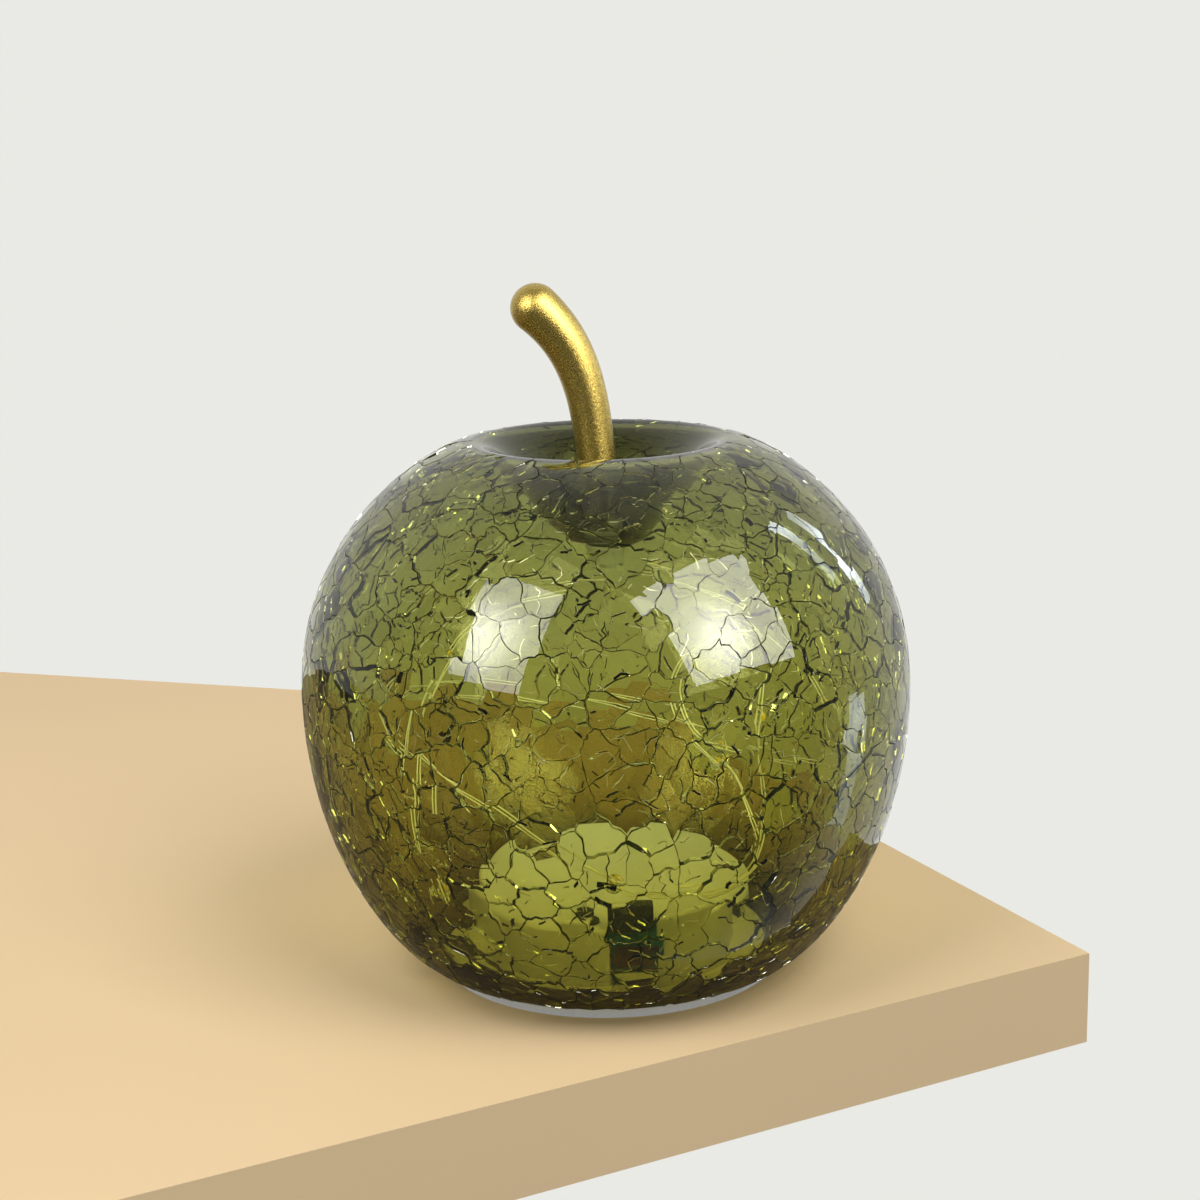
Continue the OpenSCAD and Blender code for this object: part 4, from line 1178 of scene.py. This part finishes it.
# The stage's lamps and panes, which face one point in the apple: angle round the apple and height angle
# in degrees, distance, width and height in metres. Lamps have a power in watts. Panes have a colour, a
# strength at their sides and at their brightest spot, and the place of that spot sideways and upwards from
# the middle in metres
AIM = np.array([0, 0, 80 * MM])
LAMPS = {
    "soft_left": ((-50, 48, 1.6, 0.9, 0.9), 15),
    "soft_right": ((42, 52, 1.6, 0.9, 0.9), 17.5),
}
WINDOW, DOOR = (0.99, 0.99, 1), (0.82, 0.9, 1)
PANES = {
    "window_left": ((-43, 33, 1.1, 0.5, 0.78), WINDOW, 5.5, 16, (-0.12, -0.06)),
    "window_right": ((52, 36, 1.1, 0.85, 0.86), WINDOW, 7, 18.5, (-0.1, -0.15)),
    "door_high": ((105, 33, 0.34, 0.022, 0.13), DOOR, 4, 10, (0, 0.05)),
    "door_edge": ((117, 22, 0.34, 0.026, 0.17), DOOR, 4, 12, (0, 0)),
    "door_low": ((93, -20, 0.34, 0.055, 0.16), DOOR, 1.6, 4.5, (0, 0.05)),
}

# Corners of the floor board in millimetres, the share of its light that reflections get, and how near a
# matt face has to be to get light through it
FLOOR_CORNERS = (120, -11), (11, 217), (-1200, 580), (-1200, -694)
FLOOR_MIRRORED, FLOOR_CLEAR_WITHIN = 0.3, 25 * MM

# Strength of the even light on matt faces, the room in front of the apple as reflections get it, and the
# part of the way backwards over which it gives way to the wall
EVEN_LIGHT, FRONT_ROOM, WALL_STARTS = 0.37, (0.12, 0.12, 0.11), (-0.35, 0.6)


class APPLE_OT_stage(bpy.types.Operator):
    """Floor, room light, lamps and camera"""
    bl_idname = "apple.stage"
    bl_label = "Stage"

    def execute(self, context):
        sizes = context.scene.apple_stage
        self.camera(context, sizes)
        self.floor(sizes)
        self.room(context, sizes)
        for name, lamp in LAMPS.items():
            self.lamp(name, *lamp)
        for name, pane in PANES.items():
            self.pane(name, *pane)
        return {"FINISHED"}

    def camera(self, context, sizes):
        """The photo's viewing angle."""
        data = bpy.data.cameras.new("camera")
        data.lens = sizes.lens
        data.sensor_width = 36
        data.clip_start = 0.01
        camera = bpy.data.objects.new("camera", data)
        place = Matrix.Translation((sizes.camera_side, -sizes.camera_back, sizes.camera_height))
        look = Matrix.Rotation(math.pi / 2 - sizes.camera_pitch, 4, "X")
        camera.matrix_world = place @ look @ Matrix.Rotation(sizes.camera_roll, 4, "Z")
        context.scene.collection.objects.link(camera)
        context.scene.camera = camera

    def floor(self, sizes):
        """A plain board with its corner at the right, as in the photo: its top and both visible sides. It is
        clear from below and for matt faces very near it, so that the apple's underside gets light, and
        dimmer in reflections."""
        top = np.concatenate([np.array(FLOOR_CORNERS) * MM, np.zeros((4, 1))], 1)
        corners = np.concatenate([top, top[[3, 0, 1]] - (0, 0, sizes.floor_thick)])
        finish = Finish("Floor", Roughness=0.6, Specular_IOR_Level=0.2)
        tree, drift = finish.tree, finish.grain(300, 9)["Drift"]
        ray = put(tree, "ShaderNodeLightPath").outputs
        mirrored_only = result(tree, "GREATER_THAN", ray["Is Glossy Ray"], ray["Is Transmission Ray"])
        dimmer = [part * FLOOR_MIRRORED for part in sizes.floor_colour]
        seen = finish.toned(sizes.floor_colour, drift, 0.97, 1.03)
        finish.give(Base_Color=mix_colour(tree, mirrored_only, seen, dimmer))
        near = result(tree, "LESS_THAN", ray["Ray Length"], FLOOR_CLEAR_WITHIN)
        matt_near = result(tree, "MULTIPLY", near, ray["Is Diffuse Ray"])
        back = put(tree, "ShaderNodeNewGeometry").outputs["Backfacing"]
        finish.clear_where(result(tree, "MAXIMUM", back, matt_near))
        floor = make_piece("floor", corners, [np.array([[0, 1, 2, 3], [3, 4, 5, 0], [0, 5, 6, 1]])],
                           [finish.material], body=None, smooth=False)

    def room(self, context, sizes):
        """Plain room light. The camera, and what is seen through glass, get the pale wall. Reflections get
        the wall at the back and a dimmer room in front, and matt faces an even light."""
        world = bpy.data.worlds.new("room")
        context.scene.world = world
        world.use_nodes = True
        tree = world.node_tree
        even = tree.nodes["Background"]
        fill(tree, even, {"Color": (1, 1, 1), "Strength": EVEN_LIGHT})
        way = put(tree, "ShaderNodeSeparateXYZ", {0: put(tree, "ShaderNodeTexCoord").outputs["Generated"]})
        back = ranged(tree, way.outputs["Y"], WALL_STARTS, smooth=True)
        walls = mix_colour(tree, back, FRONT_ROOM, sizes.wall_colour)
        around = put(tree, "ShaderNodeBackground", {"Color": walls})
        wall = put(tree, "ShaderNodeBackground", {"Color": sizes.wall_colour})
        ray = put(tree, "ShaderNodeLightPath").outputs
        unseen = mix_shader(tree, ray["Is Glossy Ray"], even.outputs[0], around.outputs[0])
        seen = result(tree, "MAXIMUM", ray["Is Camera Ray"], ray["Is Transmission Ray"])
        fill(tree, tree.nodes["World Output"],
             {"Surface": mix_shader(tree, seen, unseen, wall.outputs[0])})

    def pose(self, turn, rise, far):
        """Middle, sideways, upward and backward directions of a lamp or pane that faces the apple."""
        turn, rise = math.radians(turn), math.radians(rise)
        way = np.array([math.sin(turn) * math.cos(rise), -math.cos(turn) * math.cos(rise), math.sin(rise)])
        x = unit(np.cross((0, 0, 1), way))
        return AIM + far * way, x, np.cross(way, x), way

    def lamp(self, name, place, power):
        """A soft lamp that doesn't show in reflections."""
        middle, x, y, way = self.pose(*place[:3])
        data = bpy.data.lights.new(name, "AREA")
        data.shape = "RECTANGLE"
        data.size, data.size_y = place[3:]
        data.energy = power
        data.color = (1, 0.99, 0.97)
        lamp = bpy.data.objects.new(name, data)
        turned = Matrix([[x[k], y[k], way[k]] for k in range(3)]).to_4x4()
        lamp.matrix_world = Matrix.Translation(middle) @ turned
        lamp.visible_glossy = False
        bpy.context.scene.collection.objects.link(lamp)

    def pane(self, name, place, colour, dim, bright, hot):
        """A bright pane that shows only in reflections and through glass. It is brightest at a spot a
        little off its middle and falls off over nine tenths of half its height."""
        middle, x, y, _ = self.pose(*place[:3])
        w, h = place[3] / 2, place[4] / 2
        corners = np.array([middle + i * w * x + j * h * y for i, j in ((-1, -1), (1, -1), (1, 1), (-1, 1))])
        material = bpy.data.materials.new(name)
        material.use_nodes = True
        tree = material.node_tree
        tree.nodes.remove(tree.nodes["Principled BSDF"])
        spot = middle + hot[0] * x + hot[1] * y
        coords = put(tree, "ShaderNodeTexCoord").outputs["Object"]
        off = put(tree, "ShaderNodeVectorMath", {0: coords, 1: spot}, operation="DISTANCE")
        strength = ranged(tree, off.outputs["Value"], (0, 0.9 * h), (bright, dim), smooth=True)
        glow = put(tree, "ShaderNodeEmission", {"Color": colour, "Strength": strength}).outputs[0]
        fill(tree, tree.nodes["Material Output"], {"Surface": glow})
        pane = make_piece(name, corners, [np.array([[0, 1, 2, 3]])], [material], body=None, smooth=False)
        pane.visible_camera = pane.visible_diffuse = pane.visible_shadow = False


class APPLE_PT_panel(bpy.types.Panel):
    """Lists the steps in the sidebar"""
    bl_idname = "APPLE_PT_panel"
    bl_label = "Crackle glass apple"
    bl_space_type = "VIEW_3D"
    bl_region_type = "UI"
    bl_category = "Apple"

    def draw(self, context):
        for name in STEPS:
            self.layout.operator(f"apple.{name}")


GROUPS = {"apple_glass": GlassSizes, "apple_crackle": CrackleSizes, "apple_stem": StemSizes,
          "apple_wire": WireSizes, "apple_stage": StageSizes}
OPERATORS = (APPLE_OT_stage, APPLE_OT_lights, APPLE_OT_glass, APPLE_OT_stem, APPLE_OT_inner)
STEPS = ("stage", "lights", "glass", "stem", "inner")


def register():
    for group in (*GROUPS.values(), *OPERATORS, APPLE_PT_panel):
        bpy.utils.register_class(group)
    for name, group in GROUPS.items():
        setattr(bpy.types.Scene, name, PointerProperty(type=group))


def unregister():
    for name in GROUPS:
        delattr(bpy.types.Scene, name)
    for group in (APPLE_PT_panel, *reversed(OPERATORS), *reversed(GROUPS.values())):
        bpy.utils.unregister_class(group)


def main():
    register()
    bpy.context.scene.view_settings.view_transform = "Standard"
    for step in STEPS:
        getattr(bpy.ops.apple, step)()


if __name__ == "__main__":
    main()
